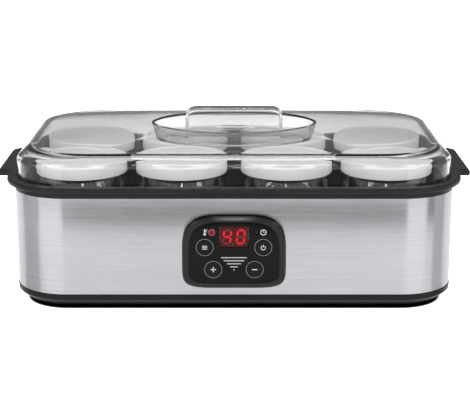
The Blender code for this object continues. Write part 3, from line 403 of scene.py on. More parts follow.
def brushed_steel():
    """Sheet brushed round the body: long level hairs, a little cloudiness and faint handling marks."""
    finish = Finish("brushed_steel", metallic=1.0)
    long_hairs = finish.noise(1, (9, 9, 900), detail=3)
    fine_hairs = finish.noise(1, (55, 55, 5200), detail=2)
    cloud = finish.noise(7, (1, 1, 2.5), detail=3)
    hairs = long_hairs * 0.55 + fine_hairs * 0.45
    worn = finish.ramp(hairs * 0.75 + cloud * 0.25, (0.30, 0.0), (0.70, 1.0))
    finish.drive("Base Color", finish.mixed(worn, (0.345, 0.348, 0.362), (0.460, 0.463, 0.477)))
    finish.drive("Roughness", 0.12 + hairs * 0.12 + cloud * 0.05)
    finish.raise_surface(hairs, 0.00002)
    return finish.material


def gloss_black(name, shade, roughness, specular):
    """Polished black plastic with a faint orange peel and soft smudges."""
    finish = Finish(name, specular_ior_level=specular)
    peel = finish.noise(420, detail=1)
    smudge = finish.noise(38, detail=4)
    dust = finish.ramp(finish.cells(900), (0.0, 1.0), (0.10, 0.0))
    dulled = smudge * 0.5 + dust * 0.2
    finish.drive("Base Color", finish.mixed(dulled, (shade, shade, shade), (0.010, 0.010, 0.010)))
    finish.drive("Roughness", roughness + smudge * 0.08 + dust * 0.10)
    finish.raise_surface(peel, 0.000004)
    return finish.material


def clear_plastic():
    """The cover: water-clear with a cool grey tint, fine wiping scratches and a slight waviness."""
    finish = Finish("clear_cover", transmission_weight=1.0, ior=1.40)
    scratches = finish.ramp(finish.noise(1, (30, 700, 700), detail=2), (0.60, 0.0), (0.72, 1.0))
    haze = finish.noise(16, detail=3)
    finish.drive("Base Color", finish.mixed(haze, (0.860, 0.863, 0.866), (0.905, 0.908, 0.910)))
    finish.drive("Roughness", 0.012 + scratches * 0.05 + haze * 0.012)
    finish.raise_surface(finish.noise(30, detail=1), 0.00006)
    finish.let_lamps_through((0.93, 0.935, 0.94))
    return finish.material


def jar_glass():
    """Pressed soda glass: faintly green, with slow ripples left by the mould."""
    finish = Finish("jar_glass", transmission_weight=1.0, ior=1.50)
    ripple = finish.noise(45, (1, 1, 0.35), detail=2)
    finish.drive("Base Color", finish.mixed(ripple, (0.90, 0.945, 0.925), (0.96, 0.98, 0.97)))
    finish.drive("Roughness", 0.008 + ripple * 0.02)
    finish.raise_surface(ripple, 0.00025)
    finish.let_lamps_through((0.94, 0.96, 0.95))
    return finish.material


def lid_plastic():
    """White lid plastic, a little milky, with a satin top and faint flow marks."""
    finish = Finish("white_lid_plastic", specular_ior_level=0.45)
    flow = finish.noise(30, (1, 1, 3), detail=3)
    grain = finish.noise(2600, detail=1)
    finish.drive("Base Color", finish.mixed(flow, (0.86, 0.86, 0.865), (0.92, 0.92, 0.92)))
    finish.drive("Roughness", 0.30 + flow * 0.08 + grain * 0.05)
    finish.raise_surface(grain, 0.00001)
    return finish.material


def glowing(name, colour, strength, roughness):
    """A lit or unlit red diffuser whose glow falls off unevenly across it."""
    finish = Finish(name, emission_strength=strength, specular_ior_level=0.15)
    spread = finish.noise(260, detail=2)
    dark = tuple(channel * 0.72 for channel in colour)
    shade = finish.mixed(spread, dark, colour)
    finish.drive("Base Color", shade)
    finish.drive("Emission Color", shade)
    finish.drive("Roughness", roughness + spread * 0.1)
    return finish.material


# Printed marks. With a strength the ink also glows; the ring round the lit lamp uses this as a painted glow.
def print_or_painted_glow(name, dark, light, strength=0.0):
    finish = Finish(name, emission_strength=strength)
    wear = finish.noise(700, detail=3)
    shade = finish.mixed(wear, dark, light)
    finish.drive("Base Color", shade)
    finish.drive("Emission Color", shade)
    finish.drive("Roughness", 0.35 + wear * 0.2)
    return finish.material


def laminate(name, board, track):
    """A circuit board: straight copper tracks under lacquer, with round pads between them."""
    finish = Finish(name)
    across = finish.waves(160, "X", 4.0)
    along = finish.waves(160, "Z", 4.0)
    tracks = finish.ramp(across * along, (0.42, 0.0), (0.50, 1.0))
    pads = finish.ramp(finish.cells(260), (0.16, 1.0), (0.20, 0.0))
    finish.drive("Base Color", finish.mixed(pads, finish.mixed(tracks, board, track), (0.62, 0.60, 0.55)))
    finish.drive("Roughness", 0.48 - tracks * 0.12 - pads * 0.1)
    finish.raise_surface(tracks + pads, 0.00003)
    return finish.material


def striped(name, direction, scale, dark, light, roughness):
    """Parallel cores side by side, as on a ribbon cable, or layers of wound tape."""
    finish = Finish(name)
    cores = finish.waves(scale, direction)
    finish.drive("Base Color", finish.mixed(cores, dark, light))
    finish.drive("Roughness", roughness + cores * 0.1)
    finish.raise_surface(cores, 0.0001)
    return finish.material


def pale_floor(name, with_dark_strip):
    """White, with a painted contact shadow: black under the base. The dark strip in front shows in
    reflections and through glass.
    """
    finish = Finish(name, specular_ior_level=0.0, emission_strength=0.62 if with_dark_strip else 1.15)
    tone = finish.noise(3, detail=2)
    # Painted contact shadow: the floor is black over the base's footprint, with a soft edge.
    away, _ = finish.from_core(front_only=False)
    level = finish.eased(away, BASE_CORNER - 0.001, BASE_CORNER + 0.003)
    if with_dark_strip:
        ahead, y = finish.from_core(front_only=True)
        stops = (
            (0.00, 1.00),
            (0.06, 0.10),
            (0.69, 0.20),
            (0.73, 0.56),
            (0.77, 0.74),
            (0.81, 0.84),
            (0.85, 0.91),
            (0.90, 0.96),
        )
        strip = finish.ramp(finish.spread(ahead, STRIP_FAR, STRIP_NEAR), *stops)
        behind = finish.eased(y, -0.06, 0.02)
        level = level * (strip + behind * (1 - strip))
    white = finish.mixed(tone, (0.90, 0.90, 0.90), (0.93, 0.93, 0.93))
    shade = finish.mixed(level, (0.0, 0.0, 0.0), white)
    finish.drive("Base Color", shade)
    finish.drive("Emission Color", shade)
    finish.drive("Roughness", 0.75 + tone * 0.1)
    return finish.material


def card_stock(name, dark, light, glow=0.0):
    finish = Finish(name, specular_ior_level=0.1, emission_strength=glow)
    tone = finish.noise(5, detail=2)
    shade = finish.mixed(tone, dark, light)
    finish.drive("Base Color", shade)
    finish.drive("Emission Color", shade)
    finish.drive("Roughness", 0.7 + tone * 0.1)
    return finish.material


def black_plastic(name, dark, light, roughness, grain, depth, **constants):
    """Moulded plastic or rubber in neutral blacks."""
    return moulded(name, (dark, dark, dark), (light, light, light), roughness, grain, depth, **constants)


def screw_steel(name):
    return metal(name, (0.42, 0.42, 0.43), (0.62, 0.62, 0.63), 0.34, (900, 900, 200), 0.00002)


def make_finishes():
    basin = black_plastic("black_basin_plastic", 0.004, 0.008, 0.38, 1900, 0.00002, specular_ior_level=0.22)
    base = black_plastic("black_base_plastic", 0.005, 0.009, 0.30, 1700, 0.00003, specular_ior_level=0.13)
    return {
        "steel": brushed_steel(),
        "basin": basin,
        "base": base,
        "foot": black_plastic("foot_rubber", 0.020, 0.042, 0.84, 1400, 0.00008),
        "gland": moulded("gland_rubber", (0.018, 0.018, 0.019), (0.034, 0.034, 0.035), 0.62, 1500, 0.00005),
        "pod": gloss_black("gloss_black_plastic", 0.003, 0.14, 0.24),
        "face": gloss_black("panel_face_gloss", 0.002, 0.10, 0.10),
        "button": gloss_black("button_plastic", 0.002, 0.18, 0.13),
        "cover": clear_plastic(),
        "glass": jar_glass(),
        "lid": lid_plastic(),
        "print": print_or_painted_glow("light_print", (0.26, 0.26, 0.25), (0.42, 0.42, 0.41)),
        "ring": print_or_painted_glow("ring_print", (0.17, 0.17, 0.17), (0.27, 0.27, 0.265)),
        "bright": print_or_painted_glow("bright_print", (0.44, 0.44, 0.43), (0.62, 0.62, 0.60)),
        "lens": glowing("display_lens", (0.045, 0.004, 0.005), 0.28, 0.12),
        "lit": glowing("lit_segment", (0.46, 0.006, 0.011), 0.50, 0.3),
        "dim": glowing("dim_segment", (0.105, 0.014, 0.013), 0.30, 0.3),
        "led_on": glowing("led_lens_lit", (0.16, 0.016, 0.020), 0.5, 0.2),
        # Painted glow: the ring round the lit lamp is red and glows because the lamp is lit. The same ring
        # round the unlit lamp is black.
        "led_ring": print_or_painted_glow("led_ring_lit", (0.30, 0.055, 0.065), (0.40, 0.085, 0.095), 0.1),
        "led_off": gloss_black("led_lens_dark", 0.006, 0.15, 0.3),
        "screw": screw_steel("screw_metal"),
    }


def inner_finishes():
    """Finishes of the CAD parts inside the base, by node."""
    screw = screw_steel("inner_screw_metal")
    switch = black_plastic("switch_case", 0.045, 0.075, 0.45, 2200, 0.00002)
    lead = moulded("lead_silicone", (0.62, 0.62, 0.58), (0.76, 0.76, 0.72), 0.56, 1800, 0.00003)
    heater = moulded("heater_silicone", (0.46, 0.060, 0.040), (0.62, 0.10, 0.065), 0.60, 1600, 0.00004)
    aluminium = ("spreader_aluminium", (0.66, 0.67, 0.68), (0.84, 0.85, 0.86))
    brass = ("fuse_case", (0.50, 0.46, 0.38), (0.70, 0.66, 0.58))
    nickel = ("sensor_case", (0.58, 0.58, 0.60), (0.78, 0.78, 0.80))
    sleeve = ("capacitor_sleeve", (0.035, 0.035, 0.10), (0.065, 0.065, 0.16))
    nylon = ("terminal_nylon", (0.72, 0.71, 0.66), (0.86, 0.85, 0.80))
    finishes = {
        "heat_spreader": metal(*aluminium, 0.34, (20, 1400, 900), 0.00003),
        "heating_wire": heater,
        "thermal_fuse": metal(*brass, 0.40, (300, 1400, 1400), 0.00002),
        "temperature_sensor": metal(*nickel, 0.30, (900, 900, 300), 0.00002),
        "control_board": laminate("control_laminate", (0.035, 0.17, 0.07), (0.07, 0.30, 0.12)),
        "power_board": laminate("power_laminate", (0.23, 0.14, 0.045), (0.42, 0.26, 0.10)),
        "transformer": striped("transformer_core", "Z", 180, (0.66, 0.52, 0.12), (0.84, 0.72, 0.26), 0.45),
        "relay": moulded("relay_case", (0.030, 0.075, 0.26), (0.050, 0.12, 0.38), 0.36, 1800, 0.00002),
        "capacitor": moulded(*sleeve, 0.34, 1500, 0.00002),
        "terminal_block": moulded(*nylon, 0.50, 1600, 0.00003),
        "ribbon_cable": striped("ribbon_grey", "X", 390, (0.36, 0.37, 0.39), (0.54, 0.55, 0.57), 0.46),
        "heater_lead_1": lead,
        "heater_lead_2": lead,
    }
    finishes.update({f"{name}_switch": switch for name in BUTTONS})
    for number in (1, 2):
        finishes[f"panel_screw_{number}"] = screw
        finishes[f"board_screw_{number}"] = screw
    return finishes


def rounded(corners, steps=5, closed=False):
    """A polyline through (across, up, radius) corners, with each radius made an arc."""
    path = []
    last = len(corners) - 1
    for index, (across, up, radius) in enumerate(corners):
        here = Vector((across, up))
        if not radius or (not closed and index in (0, last)):
            path.append(here)
            continue
        before = Vector(corners[index - 1][:2]) - here
        after = Vector(corners[(index + 1) % len(corners)][:2]) - here
        reach = radius / math.tan(before.angle(after) / 2)
        reach = min(reach, before.length * 0.49, after.length * 0.49)
        start = here + before.normalized() * reach
        end = here + after.normalized() * reach
        for step in range(steps + 1):
            t = step / steps
            path.append(start * (1 - t) ** 2 + here * (2 * t * (1 - t)) + end * t**2)
    return path


def outline(half_x, half_y, radius, z):
    """A rounded rectangle at height z, counter-clockwise seen from above."""
    flat_x = half_x - radius
    flat_y = half_y - radius
    centres = ((flat_x, flat_y), (-flat_x, flat_y), (-flat_x, -flat_y), (flat_x, -flat_y))
    points = []
    for number, (x, y) in enumerate(centres):
        for step in range(CORNER_STEPS + 1):
            angle = math.radians(90 * (number + step / CORNER_STEPS))
            points.append(Vector((x + radius * math.cos(angle), y + radius * math.sin(angle), z)))
        next_x, next_y = centres[(number + 1) % 4]
        turn = math.radians(90 * (number + 1))
        end = Vector((next_x + radius * math.cos(turn), next_y + radius * math.sin(turn), z))
        steps = SHORT_STEPS if number % 2 else LONG_STEPS
        points += [points[-1].lerp(end, step / steps) for step in range(1, steps)]
    return points


def body_ring(offset, z):
    return outline(HALF_X + offset, HALF_Y + offset, BODY_CORNER + offset, z)


def lug_share(y):
    """How far a point of the rim belongs to a lug: 0 on the plain rim, 1 along the lug's tip."""
    t = min(max((LUG_ROOT_HALF - abs(y)) / LUG_BLEND, 0), 1)
    return t * t * (3 - 2 * t)


def rim_ring(offset, z, reach=1.0, lift=0.0, inward=0.0):
    """A ring of the rim that swells outwards at the lugs, where it also rises by lift."""
    points = body_ring(offset, z)
    for point in points:
        if abs(point.x) > HALF_X - BODY_CORNER:
            share = lug_share(point.y)
            point.x += math.copysign(share * (LUG_REACH * reach - inward), point.x)
            point.z += share * lift
    return points


def new_piece(name, shape, *materials, angle=38):
    """A shaded object from a finished shape, with its place in its mesh."""
    mesh = bpy.data.meshes.new(name)
    shape.to_mesh(mesh)
    shape.free()
    mesh.shade_smooth()
    mesh.set_sharp_from_angle(angle=math.radians(angle))
    for material in materials:
        mesh.materials.append(material)
    piece = bpy.data.objects.new(name, mesh)
    bpy.context.scene.collection.objects.link(piece)
    return piece


def skin(rows, shape, ends):
    """Faces between rows of equally many points. A row of one point is a pole."""
    pairs = list(zip(rows, rows[1:]))
    if ends == "joined":
        pairs.append((rows[-1], rows[0]))
    for low, high in pairs:
        for index in range(max(len(low), len(high))):
            after = index + 1
            under = [low[index % len(low)], low[after % len(low)]]
            over = [high[after % len(high)], high[index % len(high)]]
            shape.faces.new(list(dict.fromkeys(under + over)))
    if ends == "capped":
        shape.faces.new(reversed(rows[0]))
        shape.faces.new(rows[-1])
    bmesh.ops.recalc_face_normals(shape, faces=shape.faces)


def loft(name, rings, material, ends="joined"):
    shape = bmesh.new()
    skin([[shape.verts.new(point) for point in ring] for ring in rings], shape, ends)
    return new_piece(name, shape, material)


def turned(name, profile, spot, material, turn=Matrix.Identity(4), steps=TURN_STEPS, ends="open"):
    """A solid turned about its own upright axis, then turned and moved to its spot."""
    shape = bmesh.new()
    place = Matrix.Translation(spot) @ turn
    rows = []
    for radius, height in profile:
        count = steps if radius > 1e-6 else 1
        angles = [2 * math.pi * step / count for step in range(count)]
        row = [Vector((radius * math.cos(angle), radius * math.sin(angle), height)) for angle in angles]
        rows.append([shape.verts.new(place @ point) for point in row])
    skin(rows, shape, ends)
    return new_piece(name, shape, material)


def plain_copy(thing):
    """A mesh of the object as its modifiers leave it."""
    graph = bpy.context.evaluated_depsgraph_get()
    return bpy.data.meshes.new_from_object(thing.evaluated_get(graph), depsgraph=graph)


def carve(piece, cutters):
    """Cuts the cutters out of the piece and removes them."""
    for cutter in cutters:
        change = piece.modifiers.new("cut", "BOOLEAN")
        change.operation = "DIFFERENCE"
        change.object = cutter
    piece.data = plain_copy(piece)
    piece.modifiers.clear()
    for cutter in cutters:
        bpy.data.objects.remove(cutter)
    piece.data.shade_smooth()
    piece.data.set_sharp_from_angle(angle=math.radians(38))
    return piece


def settle(piece, body, slot, *nodes):
    """The piece rides on its body and stands for its CAD nodes. The slot is not used."""
    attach(piece, body)
    if nodes:
        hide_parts(*nodes)
    return piece


def middle(node):
    low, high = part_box(node)
    return (low + high) / 2


def block(centre, size):
    """A plain box shape, to cut with or to finish further."""
    shape = bmesh.new()
    bmesh.ops.create_cube(shape, size=1)
    bmesh.ops.scale(shape, vec=size, verts=shape.verts)
    bmesh.ops.translate(shape, vec=centre, verts=shape.verts)
    return shape


def growing_tree(name, **kinds):
    """A Geometry Nodes tree with its inputs; gives its nodes and the sockets of what it is given."""
    nodes = Nodes(bpy.data.node_groups.new(name, "GeometryNodeTree"))
    face = nodes.tree.interface
    for words, kind in {"Geometry": "Geometry", **kinds, "Material": "Material"}.items():
        face.new_socket(words, in_out="INPUT", socket_type=f"NodeSocket{kind}")
    face.new_socket("Geometry", in_out="OUTPUT", socket_type="NodeSocketGeometry")
    return nodes, nodes.add("NodeGroupInput").outputs


def set_on_points(nodes, given, thing, **more):
    """Ends a tree: the thing on every given point, as a plain mesh in the given material."""
    sockets = {"Points": given["Geometry"], "Instance": thing.outputs[0], **more}
    copies = nodes.add("GeometryNodeInstanceOnPoints", None, sockets)
    whole = nodes.add("GeometryNodeRealizeInstances", None, {"Geometry": copies.outputs[0]})
    sockets = {"Geometry": whole.outputs[0], "Material": given["Material"]}
    painted = nodes.add("GeometryNodeSetMaterial", None, sockets)
    nodes.add("NodeGroupOutput", None, {"Geometry": painted.outputs[0]})
    return nodes.tree


def ring_tree():
    """Geometry Nodes: a rounded ring on every point, lying flat on its base."""
    kinds = {"Radius": "Float", "Width": "Float", "Height": "Float", "Turn": "Vector", "Steps": "Int"}
    nodes, given = growing_tree("rings_on_points", **kinds)
    circle = "GeometryNodeCurvePrimitiveCircle"
    path = nodes.add(circle, None, {"Resolution": given["Steps"], "Radius": given["Radius"]})
    section = nodes.add(circle, None, {"Resolution": 8, "Radius": 0.5})
    size = nodes.add("ShaderNodeCombineXYZ", None, {"X": given["Width"], "Y": given["Height"], "Z": 1.0})
    sockets = {"Geometry": section.outputs[0], "Scale": size.outputs[0]}
    section = nodes.add("GeometryNodeTransform", None, sockets)
    sockets = {"Curve": path.outputs[0], "Profile Curve": section.outputs[0]}
    ring = nodes.add("GeometryNodeCurveToMesh", None, sockets)
    return set_on_points(nodes, given, ring, Rotation=given["Turn"])


def grown(name, tree, points, **sizes):
    """A plain mesh of what the tree makes on the points. Its inputs are set by name."""
    mesh = bpy.data.meshes.new(name)
    mesh.from_pydata([tuple(point) for point in points], [], [])
    piece = bpy.data.objects.new(name, mesh)
    bpy.context.scene.collection.objects.link(piece)
    change = piece.modifiers.new("growth", "NODES")
    change.node_group = tree
    for socket in tree.interface.items_tree:
        if socket.in_out == "INPUT" and socket.name in sizes:
            change[socket.identifier] = sizes[socket.name]
    piece.data = plain_copy(piece)
    piece.modifiers.clear()
    piece.data.shade_smooth()
    return piece


def slot_tree():
    """Geometry Nodes: a row of round-ended slots, centred on the point, spaced along Y."""
    kinds = {"Length": "Float", "Width": "Float", "Depth": "Float", "Pitch": "Float", "Count": "Int"}
    nodes, given = growing_tree("slot_row", **kinds)
    sheet = {"Width": given["Length"], "Height": given["Width"]}
    edge = nodes.add("GeometryNodeCurvePrimitiveQuadrilateral", {"mode": "RECTANGLE"}, sheet)
    half = nodes.add("ShaderNodeMath", {"operation": "MULTIPLY"}, {0: given["Width"], 1: 0.499})
    fillet = {"Curve": edge.outputs[0], "Radius": half.outputs[0], "Count": 5}
    edge = nodes.add("GeometryNodeFilletCurve", {"mode": "POLY"}, fillet)
    rim = nodes.add("GeometryNodeCurvePrimitiveLine", {"mode": "POINTS"})
    upright = nodes.add("ShaderNodeCombineXYZ", None, {"Z": given["Depth"]})
    nodes.tree.links.new(upright.outputs[0], rim.inputs["End"])
    wall = {"Curve": rim.outputs[0], "Profile Curve": edge.outputs[0], "Fill Caps": True}
    slot = nodes.add("GeometryNodeCurveToMesh", None, wall)
    span = nodes.add("ShaderNodeCombineXYZ", None, {"Y": given["Pitch"]})
    less = nodes.add("ShaderNodeMath", {"operation": "SUBTRACT"}, {0: given["Count"], 1: 1.0})
    back = nodes.add("ShaderNodeMath", {"operation": "MULTIPLY"}, {0: less.outputs[0], 1: -0.5})
    scaled = {"Vector": span.outputs[0], "Scale": back.outputs[0]}
    start = nodes.add("ShaderNodeVectorMath", {"operation": "SCALE"}, scaled)
    line = {"Count": given["Count"], "Start Location": start.outputs[0], "Offset": span.outputs[0]}
    row = nodes.add("GeometryNodeMeshLine", None, line)
    sockets = {"Points": row.outputs[0], "Instance": slot.outputs[0]}
    slots = nodes.add("GeometryNodeInstanceOnPoints", None, sockets)
    return set_on_points(nodes, given, slots)


def make_steel(finishes):
    corners = [
        (0, SHELL_LOW.z, HEM),
        (0, SHELL_HIGH.z, HEM),
        (-SHEET, SHELL_HIGH.z, HEM),
        (-SHEET, SHELL_LOW.z, HEM),
    ]
    rings = [body_ring(offset, z) for offset, z in rounded(corners, 3, closed=True)]
    shell = loft("steel_shell", rings, finishes["steel"])
    settle(shell, "base_unit", "brushed_steel", "outer_shell")
    size = Vector((SEAM_WIDTH / 4, SHEET, SHELL_HIGH.z - SHELL_LOW.z + SHEET))
    centre = Vector((0, HALF_Y + SHEET * 0.15, (SHELL_HIGH.z + SHELL_LOW.z) / 2))
    carve(shell, [new_piece("seam_cut", block(centre, size))])


def make_base(finishes, slots):
    under = BASE_LOW.z
    band = BODY_BOTTOM - BASE_BAND
    inner = -SHEET - GAP
    corners = [
        (-BASE_TUCK, under, 0.0030),
        (BASE_PROUD / 2 - BASE_STEP, band - BASE_STEP, 0.0012),
        (BASE_PROUD / 2, band, 0.0003),
        (BASE_PROUD, BODY_BOTTOM, 0.0003),
        (inner, BODY_BOTTOM, 0),
        (inner, BODY_BOTTOM + COLLAR_HEIGHT, 0),
        (inner - BASE_WALL, BODY_BOTTOM + COLLAR_HEIGHT, 0),
        (inner - BASE_WALL, band + BASE_WALL / 2, 0),
        (-BASE_TUCK - BASE_WALL / 2, under + BASE_WALL, 0),
    ]
    path = rounded(corners, 6, closed=True)
    first = min(range(len(path)), key=lambda index: (path[index].y, path[index].x))
    path = path[first:] + path[:first]
    base = loft("base_tray", [body_ring(offset, z) for offset, z in path], finishes["base"], "capped")
    bore = [(0, SCREW_BORE_TOP), (SCREW_BORE, SCREW_BORE_TOP), (SCREW_BORE, 0), (0, 0)]
    cutters = []
    for number in CORNERS:
        low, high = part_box(f"base_screw_{number}")
        spot = ((low.x + high.x) / 2, (low.y + high.y) / 2, 0)
        cutters.append(turned(f"bore_{number}", bore, spot, None, steps=40))
    sizes = {"Length": VENT_LENGTH, "Width": VENT_WIDTH, "Depth": BASE_WALL}
    spots = [(x, 0, under - BASE_WALL / 2) for x in (-HALF_X / 2, HALF_X / 2)]
    cutters.append(grown("vent_cuts", slots, spots, Pitch=VENT_PITCH, Count=VENT_COUNT, **sizes))
    carve(base, cutters)
    settle(base, "base_unit", "black_base_plastic", "base_pan")


def make_feet(finishes):
    top = BASE_LOW.z - GAP / 2
    for number in CORNERS:
        low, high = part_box(f"foot_{number}")
        radius = (high.x - low.x) / 2
        spot = Vector(((low.x + high.x) / 2, (low.y + high.y) / 2, 0))
        corners = [
            (0, top, 0),
            (radius, top, 0.0002),
            (radius, 0, 0.0006),
            (radius * 0.72, 0, 0.0002),
            (radius * 0.66, 0.0006, 0.0002),
            (radius * 0.42, 0.0006, 0.0002),
            (radius * 0.36, 0, 0.0002),
            (0, 0, 0),
        ]
        foot = turned(f"rubber_foot_{number}", rounded(corners, 3), spot, finishes["foot"], steps=56)
        settle(foot, "base_unit", "foot_rubber", f"foot_{number}")


def make_screw_heads(finishes):
    """Base screws with a cross recess, seen up their bores."""
    for number in CORNERS:
        low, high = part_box(f"base_screw_{number}")
        radius = (high.x - low.x) / 2
        length = high.z - low.z
        spot = Vector(((low.x + high.x) / 2, (low.y + high.y) / 2, low.z))
        corners = [
            (0, 0, 0),
            (radius, 0, 0.0009),
            (radius, SCREW_HEAD, 0.0002),
            (SCREW_SHANK, SCREW_HEAD, 0.0002),
            (SCREW_SHANK, length - SCREW_SHANK, 0.0003),
            (0, length, 0),
        ]
        screw = turned(f"cross_screw_{number}", rounded(corners, 4), spot, finishes["screw"], steps=36)
        cutters = []
        blade = Vector((radius * 1.1, radius * 0.26, SCREW_HEAD))
        for index, size in enumerate((blade.yxz, blade)):
            centre = spot + Vector((0, 0, GAP * index / 9))
            cutters.append(new_piece(f"blade_{index}", block(centre, size)))
        carve(screw, cutters)
        settle(screw, "base_unit", "screw_metal", f"base_screw_{number}")


def make_basin(finishes, rings):
    """Basin, collar, rim and both lugs as one moulding."""
    under_rim = RIM_TOP - RIM_THICKNESS
    lip = -SHEET - GAP
    floor_out = -BASIN_INSET - BASIN_DRAFT + BASIN_WALL
    corners = [
        (floor_out, BASIN_FLOOR - BASIN_WALL, BASIN_FILLET),
        (-BASIN_INSET + BASIN_WALL, under_rim - COLLAR_HEIGHT / 2, 0),
        (lip - BASIN_WALL, under_rim - COLLAR_HEIGHT / 2, 0),
        (lip - BASIN_WALL, BODY_TOP - COLLAR_HEIGHT, 0),
        (lip, BODY_TOP - COLLAR_HEIGHT, 0),
        (lip, BODY_TOP, 0),
        (BASE_PROUD, BODY_TOP, 0.0003),
        (BASE_PROUD, under_rim, 0),
    ]
    start = (floor_out - 2 * BASIN_FILLET, BASIN_FLOOR - BASIN_WALL, 0)
    rings_out = [body_ring(offset, z) for offset, z in rounded([start, *corners], 5)]
    hollow = LUG_WALL / LUG_REACH
    edge = RIM_OVERHANG - RIM_ROUNDING * 1.5
    under = [
        rim_ring(edge - 0.0006, under_rim, reach=0, lift=LUG_RECESS),
        rim_ring(edge - 0.0003, under_rim, reach=1 - hollow, lift=LUG_RECESS),
        rim_ring(edge, under_rim, reach=1 - hollow, lift=RIM_ROUNDING / 2 - LUG_DROP),
        rim_ring(edge + 0.0002, under_rim, reach=1 - hollow * 0.8, lift=-LUG_DROP),
    ]
    outer = []
    for step in range(5):
        angle = math.radians(-90 + 90 * step / 4)
        offset = RIM_OVERHANG - RIM_ROUNDING * (1 - math.cos(angle))
        z = under_rim + RIM_ROUNDING * (1 + math.sin(angle))
        outer.append(rim_ring(offset, z, lift=-LUG_DROP))
    for step in range(7):
        angle = math.radians(90 * step / 6)
        offset = RIM_OVERHANG - RIM_ROUNDING * (1 - math.cos(angle))
        z = RIM_TOP - RIM_ROUNDING * (1 - math.sin(angle))
        inward = LUG_ROUNDING * (1 - math.cos(angle))
        lift = -GAP - LUG_ROUNDING * (1 - math.sin(angle))
        outer.append(rim_ring(offset, z, lift=lift, inward=inward))
    outer.append(rim_ring(RIM_OVERHANG - 1.4 * RIM_ROUNDING, RIM_TOP, reach=0.35, lift=-GAP / 2))
    outer.append(rim_ring(RIM_OVERHANG - 1.7 * RIM_ROUNDING, RIM_TOP, reach=0))
    inner_corners = [
        (0.0012, RIM_TOP, 0),
        (-SEAT_OUT, RIM_TOP, 0.0005),
        (-SEAT_OUT, RIM_TOP - SEAT_DEPTH, 0.0003),
        (-SEAT_IN, RIM_TOP - SEAT_DEPTH, 0.0002),
        (-SEAT_IN, RIM_TOP - SEAT_DEPTH + SEAT_LIP, 0.0003),
        (-BASIN_INSET, RIM_TOP - SEAT_DEPTH + SEAT_LIP, 0.0005),
        (-BASIN_INSET - BASIN_DRAFT, BASIN_FLOOR, BASIN_FILLET),
        (-BASIN_INSET - BASIN_DRAFT - 2 * BASIN_FILLET, BASIN_FLOOR, 0),
    ]
    inside = [body_ring(offset, z) for offset, z in rounded(inner_corners, 5)]
    basin = loft("basin_and_rim", rings_out + under + outer + inside, finishes["basin"], "capped")
    settle(basin, "base_unit", "black_basin_plastic", "inner_basin")
    spots = [(*middle(f"jar_{number}").xy, BASIN_FLOOR) for number in JARS]
    sizes = {"Radius": REST_RADIUS, "Width": REST_WIDTH, "Height": REST_HEIGHT, "Steps": 96}
    rests = grown("jar_rests", rings, spots, Material=finishes["basin"], **sizes)
    settle(rests, "base_unit", "black_basin_plastic")


def oval(half_x, half_y, z, guide, power=2.0):
    """An oval, or with a higher power a bar with rounded ends, whose points face those of the guide."""
    longest = max(point.x for point in guide)
    widest = max(point.y for point in guide)
    ring = []
    for point in guide:
        angle = math.atan2(point.y / widest, point.x / longest)
        across = math.copysign(abs(math.cos(angle)) ** (2 / power), math.cos(angle))
        along = math.copysign(abs(math.sin(angle)) ** (2 / power), math.sin(angle))
        ring.append(Vector((half_x * across, half_y * along, z)))
    return ring


